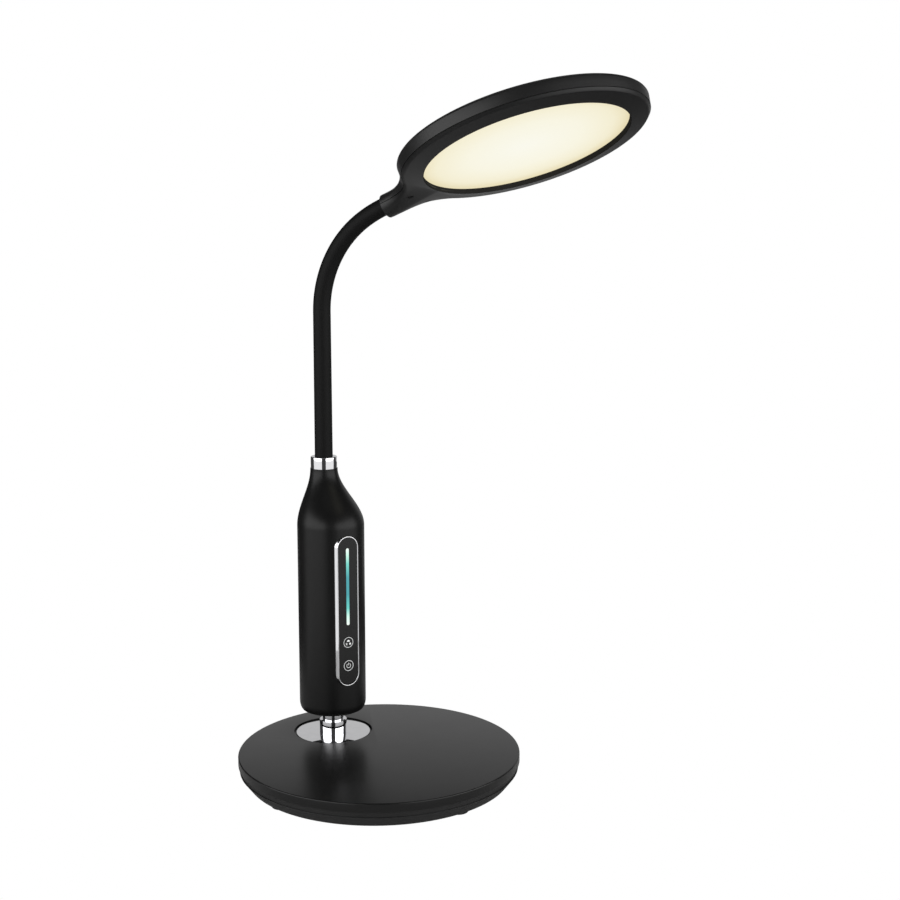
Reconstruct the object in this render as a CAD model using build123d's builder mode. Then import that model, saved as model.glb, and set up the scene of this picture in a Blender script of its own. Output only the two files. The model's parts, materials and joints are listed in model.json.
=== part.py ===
"""A gooseneck desk lamp: weighted round base, swivelling body with a touch panel,
bendable neck and a flat edge-lit head.

Millimetres and degrees. +Z is up, the lamp's front faces -Y, and the origin is the
middle of the base on the surface that it stands on.
"""

import os
from math import cos, pi, radians, sin, sqrt

from build123d import *

os.makedirs("parts", exist_ok=True)


# ---------------------------------------------------------------- driving dimensions

# Base
base_radius = 95.0  # outer radius of the cover
base_height = 19.0  # top face above the table
cover_band = 6.0  # height of the cover's side band
cover_wall = 2.2
cover_edge_round = 0.8
groove_height = 3.6  # shadow groove under the side band
groove_depth = 1.6
shell_inset = 0.5  # bottom cover's widest radius inside the cover's
shell_taper = 6.0  # from there in to its flat underside
shell_floor = 2.0
shell_wall = 2.6
lip_height = 2.0  # locating lip inside the cover
lip_thickness = 1.8
foot_height = 1.8
foot_radius = 7.0
foot_inset = 8.5  # middle of a foot in from the underside's edge
foot_count = 4
weight_thickness = 8.0
base_screw_inset = 10.0  # screws in from the weight's rim
base_screw_count = 4

# Stem between the base and the body
stem_inset = 43.0  # stem axis in from the base's rear rim
stem_radius = 4.0
stem_bore = 2.6
plate_recess_radius = 27.3  # recess in the cover for the chrome plate
plate_recess_depth = 1.5
plate_radius = 25.8
plate_thickness = 0.75
lower_sleeve_radius = 9.45
lower_sleeve_height = 9.1
upper_sleeve_radius = 7.36
upper_sleeve_height = 8.2
stem_nut_flats = 13.0
stem_nut_height = 3.5
stem_washer_radius = 8.0
stem_washer_height = 0.8

# Power inlet at the rear of the base
inlet_nose_radius = 4.0
inlet_bore_radius = 2.75
inlet_pin_radius = 1.05
inlet_pin_sunk = 1.0  # pin's tip behind the nose's face
inlet_bore_depth = 9.5
inlet_body_width = 9.0
inlet_body_depth = 13.5
inlet_body_height = 8.8
inlet_inset = 1.0  # face of the inlet's nose inside the cover's radius
inlet_gap = 0.4  # between the inlet's body and the bottom cover's wall

# Body
body_radius = 23.05
body_wall = 1.6
body_height = 169.1  # from the underside to the neck collar
shoulder_height = 38.6
shoulder_top_radius = 9.4
shoulder_sections = 7
body_turn = 9.0  # swivelled from straight ahead towards -X
neck_back = 9.0  # neck axis behind the stem axis
body_foot_round = 3.0
cap_radius = 19.9
cap_thickness = 4.0
cap_bearing_radius = 8.5
cap_bearing_height = 8.0
body_screw_circle = 14.5
body_screw_count = 3

# Touch panel and electronics
panel_length = 104.7
panel_width = 16.0
panel_bottom = 22.0  # lower end of the panel above the body's underside
panel_rim = 1.0
panel_proud = 1.15  # rim's front face in front of the body's wall
panel_sunk = 0.4  # panel's face behind the rim's
panel_thickness = 2.2
panel_ledge = 1.6  # ledge inside the rim that carries the panel
panel_ledge_thickness = 1.6
slider_width = 2.1
slider_top_inset = 8.3  # slider's upper end below the panel's
slider_bottom = 42.9  # and its lower end above the panel's
mode_icon = 30.7  # touch spots above the panel's lower end
power_icon = 14.3
board_width = 12.0
board_end_gap = 3.35  # board's ends inside the panel's
board_screw_inset = 2.2  # screws from the board's ends
board_thickness = 1.4
board_gap = 4.8  # between the panel's back and the board
touch_spring_radius = 2.6
touch_spring_wire = 0.6
led_count = 6
led_height = 0.9
frame_thickness = 2.0
frame_gap = 7.0  # between the board and the frame's spine
chip_size = 7.0
chip_spacing = 19.0
chip_heights = (1.2, 2.2, 1.6)  # from the lowest chip up
capacitor_radius = 3.0
capacitor_inset = 15.0  # its middle below the board's upper end

# Neck
collar_radius = 9.05
collar_height = 8.2
neck_straight = 99.2
lower_bend_radius = 74.0
lower_bend_turn = 57.0
upper_bend_radius = 96.0
upper_bend_turn = 11.7
neck_turn = 21.5  # plane of the bend, turned from straight ahead towards +X
sleeve_radius_bottom = 6.2
sleeve_radius_top = 5.8
sleeve_bore = 4.3
joint_count = 9
first_joint = 12.0  # above the collar
last_joint_gap = 10.8  # before the socket's mouth
core_radius = 4.22
core_ball_radius = 2.8
core_rod_radius = 1.6
core_socket_radius = 3.6
core_shank_radius = 2.6
neck_nut_flats = 11.0
neck_nut_height = 3.5
neck_below_nut = 2.0
neck_insert = 12.0  # length of the neck's sleeve inside the head's socket
core_past_sleeve = 9.0  # bare core beyond the sleeve's end

# Head
head_roll = 8.2  # head turned about its own arm
arm_reach = 25.3  # head's edge to the socket's mouth
socket_height = 5.7  # socket axis above the plane of the bezel's inner edge
head_radius = 81.0
lens_recess = 3.4
bezel_width = 11.65  # sloping face round the lens
bezel_face_rise = 1.7
bezel_chamfer = 1.75  # from that face out to the seam
seam_inset = 0.7  # seam's radius inside the head's
seam_height = 3.95
head_side_height = 10.2
head_edge_round = 2.4
head_dome = 1.2
head_wall = 2.0
socket_radius_top = 7.5
socket_radius_bottom = 8.4
socket_half_width = 8.0
socket_length = 14.0
diffuser_thickness = 1.6
light_guide_thickness = 3.0
reflector_thickness = 0.4
heat_plate_thickness = 1.2
optics_overlap = 3.1  # how far the diffuser rests on the bezel
led_strip_thickness = 1.2
heat_rim_thickness = 1.4
head_screw_spread = 10.5
head_screw_reach = 1.0  # screws beyond the head's edge
head_screw_sunk = 1.2  # top of the screw's recess above the bezel's plane
clamp_thickness = 0.8
clamp_length = 3.0
lead_radius = 0.9

# Fasteners and fits
screw_radius = 1.5
screw_head_radius = 2.8
screw_head_height = 1.8
small_screw_radius = 1.0
small_screw_head_radius = 1.9
small_screw_head_height = 1.2
running_fit = 0.05  # radial clearance of a turning fit
loose_fit = 0.1  # clearance of pieces that are assembled and stay
ball_fit = 0.3  # clearance between neck sleeves that swivel on each other


# ---------------------------------------------------------------- derived places

seam_z = base_height - cover_band
groove_z = seam_z - groove_height
cover_underside = base_height - cover_wall
floor_z = foot_height + shell_floor
shell_radius = base_radius - shell_inset
shell_foot_radius = shell_radius - shell_taper
foot_circle = shell_foot_radius - foot_inset
inlet_rear = base_radius - inlet_inset
inlet_front = shell_foot_radius - shell_wall - inlet_gap
weight_radius = inlet_front - inlet_body_depth
base_screw_circle = weight_radius - base_screw_inset
stem_back = base_radius - stem_inset
weight_top = floor_z + weight_thickness
lip_radius = base_radius - cover_wall - loose_fit

plate_seat = base_height - plate_recess_depth
plate_top = plate_seat + plate_thickness
lower_sleeve_top = plate_top + lower_sleeve_height
upper_sleeve_top = lower_sleeve_top + upper_sleeve_height
body_bottom = upper_sleeve_top + loose_fit
cap_top = body_bottom + cap_thickness
bearing_top = body_bottom + cap_bearing_height
stem_bottom = floor_z + 0.4
weight_pocket_top = stem_bottom + stem_nut_height + stem_washer_height + 0.2
stem_top = bearing_top + loose_fit + stem_washer_height + stem_nut_height + 0.6
stem_point = (0, stem_back)

body_top = body_bottom + body_height
shoulder_bottom = body_top - shoulder_height
body_front = Vector(-sin(radians(body_turn)), -cos(radians(body_turn)), 0)
body_right = Vector(cos(radians(body_turn)), -sin(radians(body_turn)), 0)
stem_axis_point = Vector(0, stem_back, 0)

panel_middle = body_bottom + panel_bottom + panel_length / 2
rim_front = body_radius + panel_proud
panel_face = rim_front - panel_sunk
panel_back = panel_face - panel_thickness
ledge_back = panel_back - panel_ledge_thickness
board_front = panel_back - board_gap
board_back = board_front - board_thickness
frame_front = board_back - frame_gap
frame_back = frame_front - frame_thickness

neck_axis_point = stem_axis_point - body_front * neck_back
neck_spot = (neck_axis_point.X, neck_axis_point.Y)
neck_forward = Vector(sin(radians(neck_turn)), -cos(radians(neck_turn)), 0)
neck_left_right = Vector(cos(radians(neck_turn)), sin(radians(neck_turn)), 0)
neck_plane = Plane(origin=neck_axis_point, x_dir=neck_forward, z_dir=-neck_left_right)
collar_top = body_top + collar_height
shoulder_roof = body_top - body_wall - 1.0

seam_radius = head_radius - seam_inset
bezel_face_radius = seam_radius - bezel_chamfer
lens_radius = bezel_face_radius - bezel_width
arm_length = head_radius + arm_reach
head_screw_back = head_radius + head_screw_reach

lower_bend_length = lower_bend_radius * radians(lower_bend_turn)
upper_bend_length = upper_bend_radius * radians(upper_bend_turn)
neck_length = neck_straight + lower_bend_length + upper_bend_length
neck_stretches = [
    (neck_straight, 0.0),
    (lower_bend_length, lower_bend_turn),
    (upper_bend_length, upper_bend_turn),
    (arm_length, 0.0),
]
joint_step = (neck_length - first_joint - last_joint_gap) / (joint_count - 1)
joint_stations = [first_joint + joint_step * index for index in range(joint_count)]
slider_length = panel_length - slider_top_inset - slider_bottom
slider_middle = slider_bottom + slider_length / 2
board_length = panel_length - 2 * board_end_gap
capacitor_place = board_length / 2 - capacitor_inset


# ---------------------------------------------------------------- helpers


def finish(builder, name):
    """Names a finished piece and writes it."""
    builder.part.label = name
    export_step(builder.part, f"parts/{name}.step")


def disc(center, bottom, top, radius, mode=Mode.ADD):
    """Upright cylinder between two heights, in the active part."""
    with Locations((center[0], center[1], bottom)):
        Cylinder(radius, top - bottom, align=(Align.CENTER, Align.CENTER, Align.MIN), mode=mode)


def panel_plane(depth, height=0.0):
    """Plane across the body at a distance in front of the stem axis."""
    origin = stem_axis_point + body_front * depth + Vector(0, 0, panel_middle + height)
    return Plane(origin=origin, x_dir=body_right, z_dir=body_front)


def neck_point(station):
    """Point of the neck's centre line in the neck plane, and its rise above level."""
    forward, height, rise = 0.0, collar_top, 90.0
    for length, turn in neck_stretches:
        run = min(station, length)
        turned = turn * run / length
        chord = run
        if turned:
            chord = 2 * length / radians(turn) * sin(radians(turned) / 2)
        heading = radians(rise - turned / 2)
        forward += chord * cos(heading)
        height += chord * sin(heading)
        rise -= turned
        station -= run
    return (forward, height), rise


def neck_section(station):
    """Plane across the neck at a station of its centre line."""
    point, rise = neck_point(station)
    along = neck_forward * cos(radians(rise)) + Vector(0, 0, sin(radians(rise)))
    return Plane(origin=neck_plane.from_local_coords(point), x_dir=neck_left_right, z_dir=along)


def neck_line(start, end):
    """Centre line of the neck between two stations, in the active line."""
    bends = []
    reached = 0.0
    for length, _ in neck_stretches:
        reached += length
        bends.append(reached)
    stops = [start] + [bend for bend in bends if start + 0.2 < bend < end - 0.2] + [end]
    for low, high in zip(stops, stops[1:]):
        (first, rise), (last, end_rise) = neck_point(low), neck_point(high)
        if abs(rise - end_rise) < 0.01:
            Line(first, last)
        else:
            ThreePointArc(first, neck_point((low + high) / 2)[0], last)


def neck_rod(start, end, radius, mode=Mode.ADD):
    """Round rod along the neck's centre line, in the active part."""
    with BuildLine(neck_plane, mode=Mode.PRIVATE) as path:
        neck_line(start, end)
    with BuildSketch(neck_section(start), mode=Mode.PRIVATE) as section:
        Circle(radius)
    sweep(sections=section.sketch, path=path.line, mode=mode)


def neck_ball(station, radius, mode=Mode.ADD):
    """Ball centred on the neck's centre line, in the active part."""
    with Locations(neck_section(station).location):
        Sphere(radius, mode=mode)


def hexagon_radius(flats):
    """Corner radius of a hexagon from its width across flats."""
    return flats / sqrt(3)


# ---------------------------------------------------------------- base

with BuildPart() as base_cover:
    with BuildSketch(Plane.XZ):
        with BuildLine():
            Polyline(
                (0, base_height),
                (base_radius - cover_edge_round, base_height),
                (base_radius, base_height - cover_edge_round),
                (base_radius, seam_z),
                (base_radius - cover_wall, seam_z),
                (base_radius - cover_wall, cover_underside),
                (0, cover_underside),
                close=True,
            )
        make_face()
    revolve(axis=Axis.Z)
    disc(stem_point, plate_seat - cover_wall, cover_underside, plate_recess_radius + cover_wall)
    disc(stem_point, weight_top, cover_underside, lower_sleeve_radius + cover_wall)
    with BuildSketch(Plane.XY.offset(weight_top)):
        with PolarLocations(base_screw_circle, base_screw_count, start_angle=45):
            Circle(screw_radius + cover_wall)
    extrude(amount=cover_underside - weight_top)
    disc(stem_point, plate_seat, base_height, plate_recess_radius, mode=Mode.SUBTRACT)
    disc(stem_point, weight_top, plate_seat, stem_radius + loose_fit, mode=Mode.SUBTRACT)
    with BuildSketch(Plane.XY.offset(weight_top)):
        with PolarLocations(base_screw_circle, base_screw_count, start_angle=45):
            Circle(screw_radius)
    extrude(amount=cover_underside - weight_top, mode=Mode.SUBTRACT)
finish(base_cover, "base_cover")

with BuildPart() as base_bottom_cover:
    with BuildSketch(Plane.XZ):
        with BuildLine():
            Polyline(
                (0, foot_height),
                (shell_foot_radius, foot_height),
                (shell_radius, groove_z),
                (base_radius - groove_depth, groove_z),
                (base_radius - groove_depth, seam_z),
                (lip_radius, seam_z),
                (lip_radius, seam_z + lip_height),
                (lip_radius - lip_thickness, seam_z + lip_height),
                (lip_radius - lip_thickness, groove_z),
                (shell_foot_radius + shell_floor - shell_wall, floor_z),
                (0, floor_z),
                close=True,
            )
        make_face()
    revolve(axis=Axis.Z)
    with BuildSketch(Plane.XY.offset(foot_height)):
        with PolarLocations(base_screw_circle, base_screw_count, start_angle=45):
            Circle(screw_head_radius + loose_fit)
    extrude(amount=screw_head_height, mode=Mode.SUBTRACT)
    with BuildSketch(Plane.XY.offset(foot_height)):
        with PolarLocations(base_screw_circle, base_screw_count, start_angle=45):
            Circle(screw_radius + loose_fit)
    extrude(amount=shell_floor, mode=Mode.SUBTRACT)
    with BuildSketch(Plane.XZ.offset(-inlet_rear - groove_depth)):
        with Locations((0, floor_z + inlet_body_height / 2)):
            Circle(inlet_nose_radius + loose_fit)
    extrude(amount=inlet_rear - shell_foot_radius + shell_wall * 2, mode=Mode.SUBTRACT)
finish(base_bottom_cover, "base_bottom_cover")

with BuildPart() as base_weight:
    with BuildSketch(Plane.XY.offset(floor_z)):
        Circle(weight_radius)
        with PolarLocations(base_screw_circle, base_screw_count, start_angle=45):
            Circle(screw_head_radius + 1.2, mode=Mode.SUBTRACT)
        with Locations(stem_point):
            Circle(stem_radius + loose_fit, mode=Mode.SUBTRACT)
    extrude(amount=weight_thickness)
    pocket_radius = stem_washer_radius + 1.0
    disc(stem_point, floor_z, weight_pocket_top, pocket_radius, mode=Mode.SUBTRACT)
finish(base_weight, "base_weight")

with BuildPart() as base_feet:
    with BuildSketch():
        with PolarLocations(foot_circle, foot_count):
            Circle(foot_radius)
    extrude(amount=foot_height)
finish(base_feet, "base_feet")

with BuildPart() as base_screws:
    with BuildSketch(Plane.XY.offset(foot_height)):
        with PolarLocations(base_screw_circle, base_screw_count, start_angle=45):
            Circle(screw_head_radius)
    extrude(amount=screw_head_height - loose_fit)
    with BuildSketch(Plane.XY.offset(foot_height)):
        with PolarLocations(base_screw_circle, base_screw_count, start_angle=45):
            Circle(screw_radius)
    extrude(amount=cover_underside - foot_height)
finish(base_screws, "base_screws")

inlet_axis_z = floor_z + inlet_body_height / 2
inlet_plane = Plane.XZ.offset(-inlet_rear)
with BuildPart() as power_inlet:
    with BuildSketch(Plane.XZ.offset(-inlet_front)):
        with Locations((0, inlet_axis_z)):
            Rectangle(inlet_body_width, inlet_body_height)
    extrude(amount=inlet_body_depth)
    with BuildSketch(inlet_plane):
        with Locations((0, inlet_axis_z)):
            Circle(inlet_nose_radius)
    extrude(amount=inlet_rear - inlet_front)
    with BuildSketch(inlet_plane):
        with Locations((0, inlet_axis_z)):
            Circle(inlet_bore_radius)
    extrude(amount=inlet_bore_depth, mode=Mode.SUBTRACT)
finish(power_inlet, "power_inlet")

with BuildPart() as inlet_pin:
    with BuildSketch(inlet_plane.offset(inlet_pin_sunk)):
        with Locations((0, inlet_axis_z)):
            Circle(inlet_pin_radius)
    extrude(amount=inlet_bore_depth - inlet_pin_sunk)
finish(inlet_pin, "inlet_pin")


# ---------------------------------------------------------------- stem

with BuildPart() as base_plate_ring:
    with BuildSketch(Plane.XY.offset(plate_seat)):
        with Locations(stem_point):
            Circle(plate_radius)
            Circle(stem_radius + loose_fit, mode=Mode.SUBTRACT)
    extrude(amount=plate_thickness)
finish(base_plate_ring, "base_escutcheon")

with BuildPart() as stem_tube:
    disc(stem_point, stem_bottom, stem_top, stem_radius)
    disc(stem_point, stem_bottom, stem_top, stem_bore, mode=Mode.SUBTRACT)
finish(stem_tube, "stem_tube")

with BuildPart() as stem_lower_sleeve:
    disc(stem_point, plate_top, lower_sleeve_top, lower_sleeve_radius)
    chamfer(stem_lower_sleeve.edges().group_by(Axis.Z)[-1], 0.8)
    disc(stem_point, plate_top, lower_sleeve_top, stem_radius + loose_fit, mode=Mode.SUBTRACT)
finish(stem_lower_sleeve, "stem_lower_sleeve")

with BuildPart() as stem_upper_sleeve:
    disc(stem_point, lower_sleeve_top, upper_sleeve_top, upper_sleeve_radius)
    disc(
        stem_point, lower_sleeve_top, upper_sleeve_top, stem_radius + loose_fit, mode=Mode.SUBTRACT
    )
finish(stem_upper_sleeve, "stem_upper_sleeve")

base_washer_z = weight_pocket_top - stem_washer_height
body_washer_z = bearing_top + loose_fit
with BuildPart() as stem_washers:
    for washer_z in (base_washer_z, body_washer_z):
        disc(stem_point, washer_z, washer_z + stem_washer_height, stem_washer_radius)
    disc(stem_point, stem_bottom, stem_top, stem_radius + loose_fit, mode=Mode.SUBTRACT)
finish(stem_washers, "stem_washers")

with BuildPart() as stem_nuts:
    for nut_z in (base_washer_z - stem_nut_height, body_washer_z + stem_washer_height):
        with BuildSketch(Plane.XY.offset(nut_z)):
            with Locations(stem_point):
                RegularPolygon(hexagon_radius(stem_nut_flats), 6)
        extrude(amount=stem_nut_height)
    disc(stem_point, stem_bottom, stem_top, stem_radius + loose_fit, mode=Mode.SUBTRACT)
finish(stem_nuts, "stem_nuts")


# ---------------------------------------------------------------- body


def shoulder_section(share, wall):
    """Round section of the shoulder at a share of its height, inset by a wall."""
    ease = (1 - cos(pi * share)) / 2
    radius = body_radius + (shoulder_top_radius - body_radius) * ease - wall
    center = stem_axis_point - body_front * neck_back * ease
    height = shoulder_bottom + shoulder_height * share
    with BuildSketch(Plane(origin=(center.X, center.Y, height)), mode=Mode.PRIVATE) as section:
        Circle(radius)
    return section.sketch


def shoulder_loft(top_share, wall, mode):
    """Smooth shoulder up to a share of its height, in the active part."""
    shares = [top_share * step / (shoulder_sections - 1) for step in range(shoulder_sections)]
    loft(sections=[shoulder_section(share, wall) for share in shares], mode=mode)


roof_share = (shoulder_roof - shoulder_bottom) / shoulder_height
with BuildPart() as body_shell:
    disc(stem_point, body_bottom, shoulder_bottom, body_radius)
    fillet(body_shell.edges().group_by(Axis.Z)[0], body_foot_round)
    shoulder_loft(1.0, 0.0, Mode.ADD)
    disc(
        stem_point,
        body_bottom + body_foot_round,
        shoulder_bottom,
        body_radius - body_wall,
        mode=Mode.SUBTRACT,
    )
    shoulder_loft(roof_share, body_wall, Mode.SUBTRACT)
    disc(
        stem_point,
        body_bottom,
        body_bottom + body_foot_round,
        cap_radius + loose_fit,
        mode=Mode.SUBTRACT,
    )
    disc(neck_spot, shoulder_roof, body_top, core_radius + loose_fit, mode=Mode.SUBTRACT)
    with BuildSketch(panel_plane(0)):
        SlotOverall(panel_length + 2 * loose_fit, panel_width + 2 * loose_fit, rotation=90)
    extrude(amount=body_radius + panel_proud, mode=Mode.SUBTRACT)
finish(body_shell, "body_shell")

with BuildPart() as body_bottom_cap:
    disc(stem_point, body_bottom, cap_top, cap_radius)
    disc(stem_point, cap_top, bearing_top, cap_bearing_radius)
    disc(stem_point, body_bottom, bearing_top, stem_radius + running_fit, mode=Mode.SUBTRACT)
    with BuildSketch(Plane.XY.offset(body_bottom)):
        with Locations(stem_point):
            with PolarLocations(body_screw_circle, body_screw_count):
                Circle(small_screw_head_radius + loose_fit)
    extrude(amount=small_screw_head_height, mode=Mode.SUBTRACT)
    with BuildSketch(Plane.XY.offset(body_bottom)):
        with Locations(stem_point):
            with PolarLocations(body_screw_circle, body_screw_count):
                Circle(small_screw_radius + loose_fit)
    extrude(amount=cap_thickness, mode=Mode.SUBTRACT)
finish(body_bottom_cap, "body_bottom_cap")

frame_ring_height = 4.0
with BuildPart() as body_screws:
    with BuildSketch(Plane.XY.offset(body_bottom)):
        with Locations(stem_point):
            with PolarLocations(body_screw_circle, body_screw_count):
                Circle(small_screw_head_radius)
    extrude(amount=small_screw_head_height)
    with BuildSketch(Plane.XY.offset(body_bottom)):
        with Locations(stem_point):
            with PolarLocations(body_screw_circle, body_screw_count):
                Circle(small_screw_radius)
    extrude(amount=cap_thickness + frame_ring_height)
finish(body_screws, "body_screws")

board_screw_spread = board_length / 2 - board_screw_inset
spine_bottom = cap_top - panel_middle
spine_clear = stem_top + 1.0 - cap_top  # the spine starts above the stem's nut
spine_top = board_length / 2
with BuildPart() as board_frame:
    disc(stem_point, cap_top, cap_top + frame_ring_height, cap_radius - loose_fit)
    disc(
        stem_point,
        cap_top,
        cap_top + frame_ring_height,
        cap_bearing_radius + 1.0,
        mode=Mode.SUBTRACT,
    )
    with BuildSketch(Plane.XY.offset(cap_top)):
        with Locations(stem_point):
            with PolarLocations(body_screw_circle, body_screw_count):
                Circle(small_screw_radius)
    extrude(amount=frame_ring_height, mode=Mode.SUBTRACT)
    with BuildSketch(panel_plane(board_back)):
        with GridLocations(0, board_screw_spread * 2, 1, 2):
            Circle(small_screw_head_radius)
    extrude(amount=-frame_gap)
    with BuildSketch(panel_plane(frame_front)):
        with Locations((0, (spine_bottom + spine_clear + spine_top) / 2)):
            Rectangle(board_width, spine_top - spine_bottom - spine_clear)
    extrude(amount=-frame_thickness)
    with BuildSketch(panel_plane(cap_bearing_radius + 1.5)):
        with Locations((0, spine_bottom + (spine_clear + frame_ring_height) / 2)):
            Rectangle(board_width, spine_clear + frame_ring_height)
    extrude(amount=frame_thickness)
    with BuildSketch(panel_plane(frame_back)):
        with Locations((0, spine_bottom + spine_clear + frame_ring_height / 2)):
            Rectangle(board_width, frame_ring_height)
    extrude(amount=cap_bearing_radius + 1.5 + frame_thickness - frame_back)
    with BuildSketch(panel_plane(board_back)):
        with GridLocations(0, board_screw_spread * 2, 1, 2):
            Circle(small_screw_radius)
    extrude(amount=-frame_gap, mode=Mode.SUBTRACT)
finish(board_frame, "board_frame")

with BuildPart() as panel_bezel:
    with BuildSketch(panel_plane(ledge_back)):
        SlotOverall(panel_length, panel_width, rotation=90)
    extrude(amount=rim_front - ledge_back)
    with BuildSketch(panel_plane(ledge_back)):
        inner = 2 * (panel_rim + panel_ledge)
        SlotOverall(panel_length - inner, panel_width - inner, rotation=90)
    extrude(amount=panel_ledge_thickness, mode=Mode.SUBTRACT)
    with BuildSketch(panel_plane(panel_back)):
        SlotOverall(panel_length - 2 * panel_rim, panel_width - 2 * panel_rim, rotation=90)
    extrude(amount=rim_front - panel_back, mode=Mode.SUBTRACT)
finish(panel_bezel, "panel_bezel")

slider_offset = slider_middle - panel_length / 2
with BuildPart() as touch_panel:
    with BuildSketch(panel_plane(panel_back)):
        inset = 2 * (panel_rim + loose_fit)
        SlotOverall(panel_length - inset, panel_width - inset, rotation=90)
        with Locations((0, slider_offset)):
            slot_size = (slider_length + 2 * loose_fit, slider_width + 2 * loose_fit)
            SlotOverall(*slot_size, rotation=90, mode=Mode.SUBTRACT)
    extrude(amount=panel_thickness)
finish(touch_panel, "touch_panel")

guide_back = board_front + led_height + 0.2
with BuildPart() as slider_light_guide:
    with BuildSketch(panel_plane(guide_back, slider_offset)):
        SlotOverall(slider_length, slider_width, rotation=90)
    extrude(amount=panel_face - guide_back)
finish(slider_light_guide, "slider_light_guide")

with BuildPart() as control_board:
    with BuildSketch(panel_plane(board_back)):
        Rectangle(board_width, board_length)
        with GridLocations(0, board_screw_spread * 2, 1, 2):
            Circle(small_screw_radius + loose_fit, mode=Mode.SUBTRACT)
    extrude(amount=board_thickness)
finish(control_board, "control_board")

with BuildPart() as board_screws:
    with BuildSketch(panel_plane(board_front)):
        with GridLocations(0, board_screw_spread * 2, 1, 2):
            Circle(small_screw_head_radius)
    extrude(amount=small_screw_head_height)
    with BuildSketch(panel_plane(board_front)):
        with GridLocations(0, board_screw_spread * 2, 1, 2):
            Circle(small_screw_radius)
    extrude(amount=-board_thickness - frame_gap)
finish(board_screws, "board_screws")

with BuildPart() as indicator_leds:
    with BuildSketch(panel_plane(board_front, slider_offset)):
        with GridLocations(0, slider_length / led_count, 1, led_count):
            Rectangle(1.6, 3.2)
    extrude(amount=led_height)
finish(indicator_leds, "indicator_leds")

icon_spots = [(0, icon - panel_length / 2) for icon in (mode_icon, power_icon)]
with BuildPart() as touch_springs:
    with BuildSketch(panel_plane(board_front)):
        with Locations(*icon_spots):
            Circle(touch_spring_radius)
            Circle(touch_spring_radius - touch_spring_wire, mode=Mode.SUBTRACT)
    extrude(amount=board_gap)
finish(touch_springs, "touch_springs")

with BuildPart() as board_components:
    for index, chip_height in enumerate(chip_heights):
        with BuildSketch(panel_plane(board_back)):
            with Locations((0, chip_spacing * (index - 1))):
                Rectangle(chip_size, chip_size)
        extrude(amount=-chip_height)
    with BuildSketch(panel_plane(board_back)):
        with Locations((0, capacitor_place)):
            Circle(capacitor_radius)
    extrude(amount=-frame_gap + 1.0)
finish(board_components, "board_components")


# ---------------------------------------------------------------- neck

with BuildPart() as neck_collar:
    disc(neck_spot, body_top, collar_top, collar_radius)
    chamfer(neck_collar.edges().group_by(Axis.Z)[-1], 0.6)
    disc(neck_spot, body_top, collar_top, sleeve_radius_bottom + loose_fit, mode=Mode.SUBTRACT)
finish(neck_collar, "neck_collar")

nut_top = shoulder_roof
nut_bottom = nut_top - neck_nut_height
with BuildPart() as neck_lock_nut:
    with BuildSketch(Plane.XY.offset(nut_bottom)):
        with Locations(neck_spot):
            RegularPolygon(hexagon_radius(neck_nut_flats), 6)
            Circle(core_radius + loose_fit, mode=Mode.SUBTRACT)
    extrude(amount=neck_nut_height)
finish(neck_lock_nut, "neck_lock_nut")

sleeve_start = body_top - collar_top
core_start = nut_bottom - neck_below_nut - collar_top
neck_end = neck_length + neck_insert
link_starts = [None] + joint_stations
link_ends = joint_stations + [neck_end]
ball_reach = 7.0
rod_end_gap = 4.2  # a core's thick part stops this far before its ball
shank_length = 6.5
socket_opening = 1.5

for link, (joint_below, link_end) in enumerate(zip(link_starts, link_ends)):
    share = link / joint_count
    radius = sleeve_radius_bottom + (sleeve_radius_top - sleeve_radius_bottom) * share
    start = sleeve_start if joint_below is None else joint_below
    last_link = link == joint_count

    with BuildPart() as neck_sleeve:
        neck_rod(start, link_end, radius)
        if not last_link:
            neck_ball(link_end, radius)
        bore_start = start if joint_below is None else start - 1.0
        neck_rod(bore_start, link_end + (0 if last_link else ball_reach), sleeve_bore, Mode.SUBTRACT)
        if joint_below is not None:
            step = (sleeve_radius_bottom - sleeve_radius_top) / joint_count
            neck_ball(joint_below, radius + step + ball_fit, Mode.SUBTRACT)
    finish(neck_sleeve, f"neck_sleeve_{link}")

    with BuildPart() as neck_core:
        if joint_below is None:
            neck_rod(core_start, link_end - rod_end_gap, core_radius)
        elif last_link:
            neck_rod(start + shank_length, link_end + core_past_sleeve, core_radius)
        else:
            neck_rod(start + shank_length, link_end - rod_end_gap, core_radius)
        if not last_link:
            neck_rod(link_end - rod_end_gap - 0.5, link_end, core_rod_radius)
            neck_ball(link_end, core_ball_radius)
        if joint_below is not None:
            neck_rod(start, start + shank_length + 0.5, core_shank_radius)
            neck_ball(start, core_socket_radius)
            neck_ball(start, core_ball_radius + running_fit, Mode.SUBTRACT)
            split(bisect_by=neck_section(start).offset(-socket_opening), keep=Keep.TOP)
    finish(neck_core, f"neck_core_{link}")


# ---------------------------------------------------------------- head

mouth_point, arm_rise = neck_point(neck_length)
mouth = neck_plane.from_local_coords(mouth_point)
arm_along = neck_section(neck_length).z_dir
level_up = neck_left_right.cross(arm_along) * -1
head_up = level_up * cos(radians(head_roll)) + neck_left_right * sin(radians(head_roll))
head_across = (arm_along * -1).cross(head_up)
head_middle = mouth + arm_along * arm_length - head_up * socket_height
head_axis = Axis(origin=head_middle, direction=head_up)


def head_level(height):
    """Plane parallel to the head's face, local +Y towards the neck."""
    return Plane(origin=head_middle + head_up * height, x_dir=head_across, z_dir=head_up)


def head_across_plane(back):
    """Plane across the head's arm at a distance behind the head's middle."""
    return Plane(origin=head_middle - arm_along * back, x_dir=head_across, z_dir=arm_along)


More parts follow.
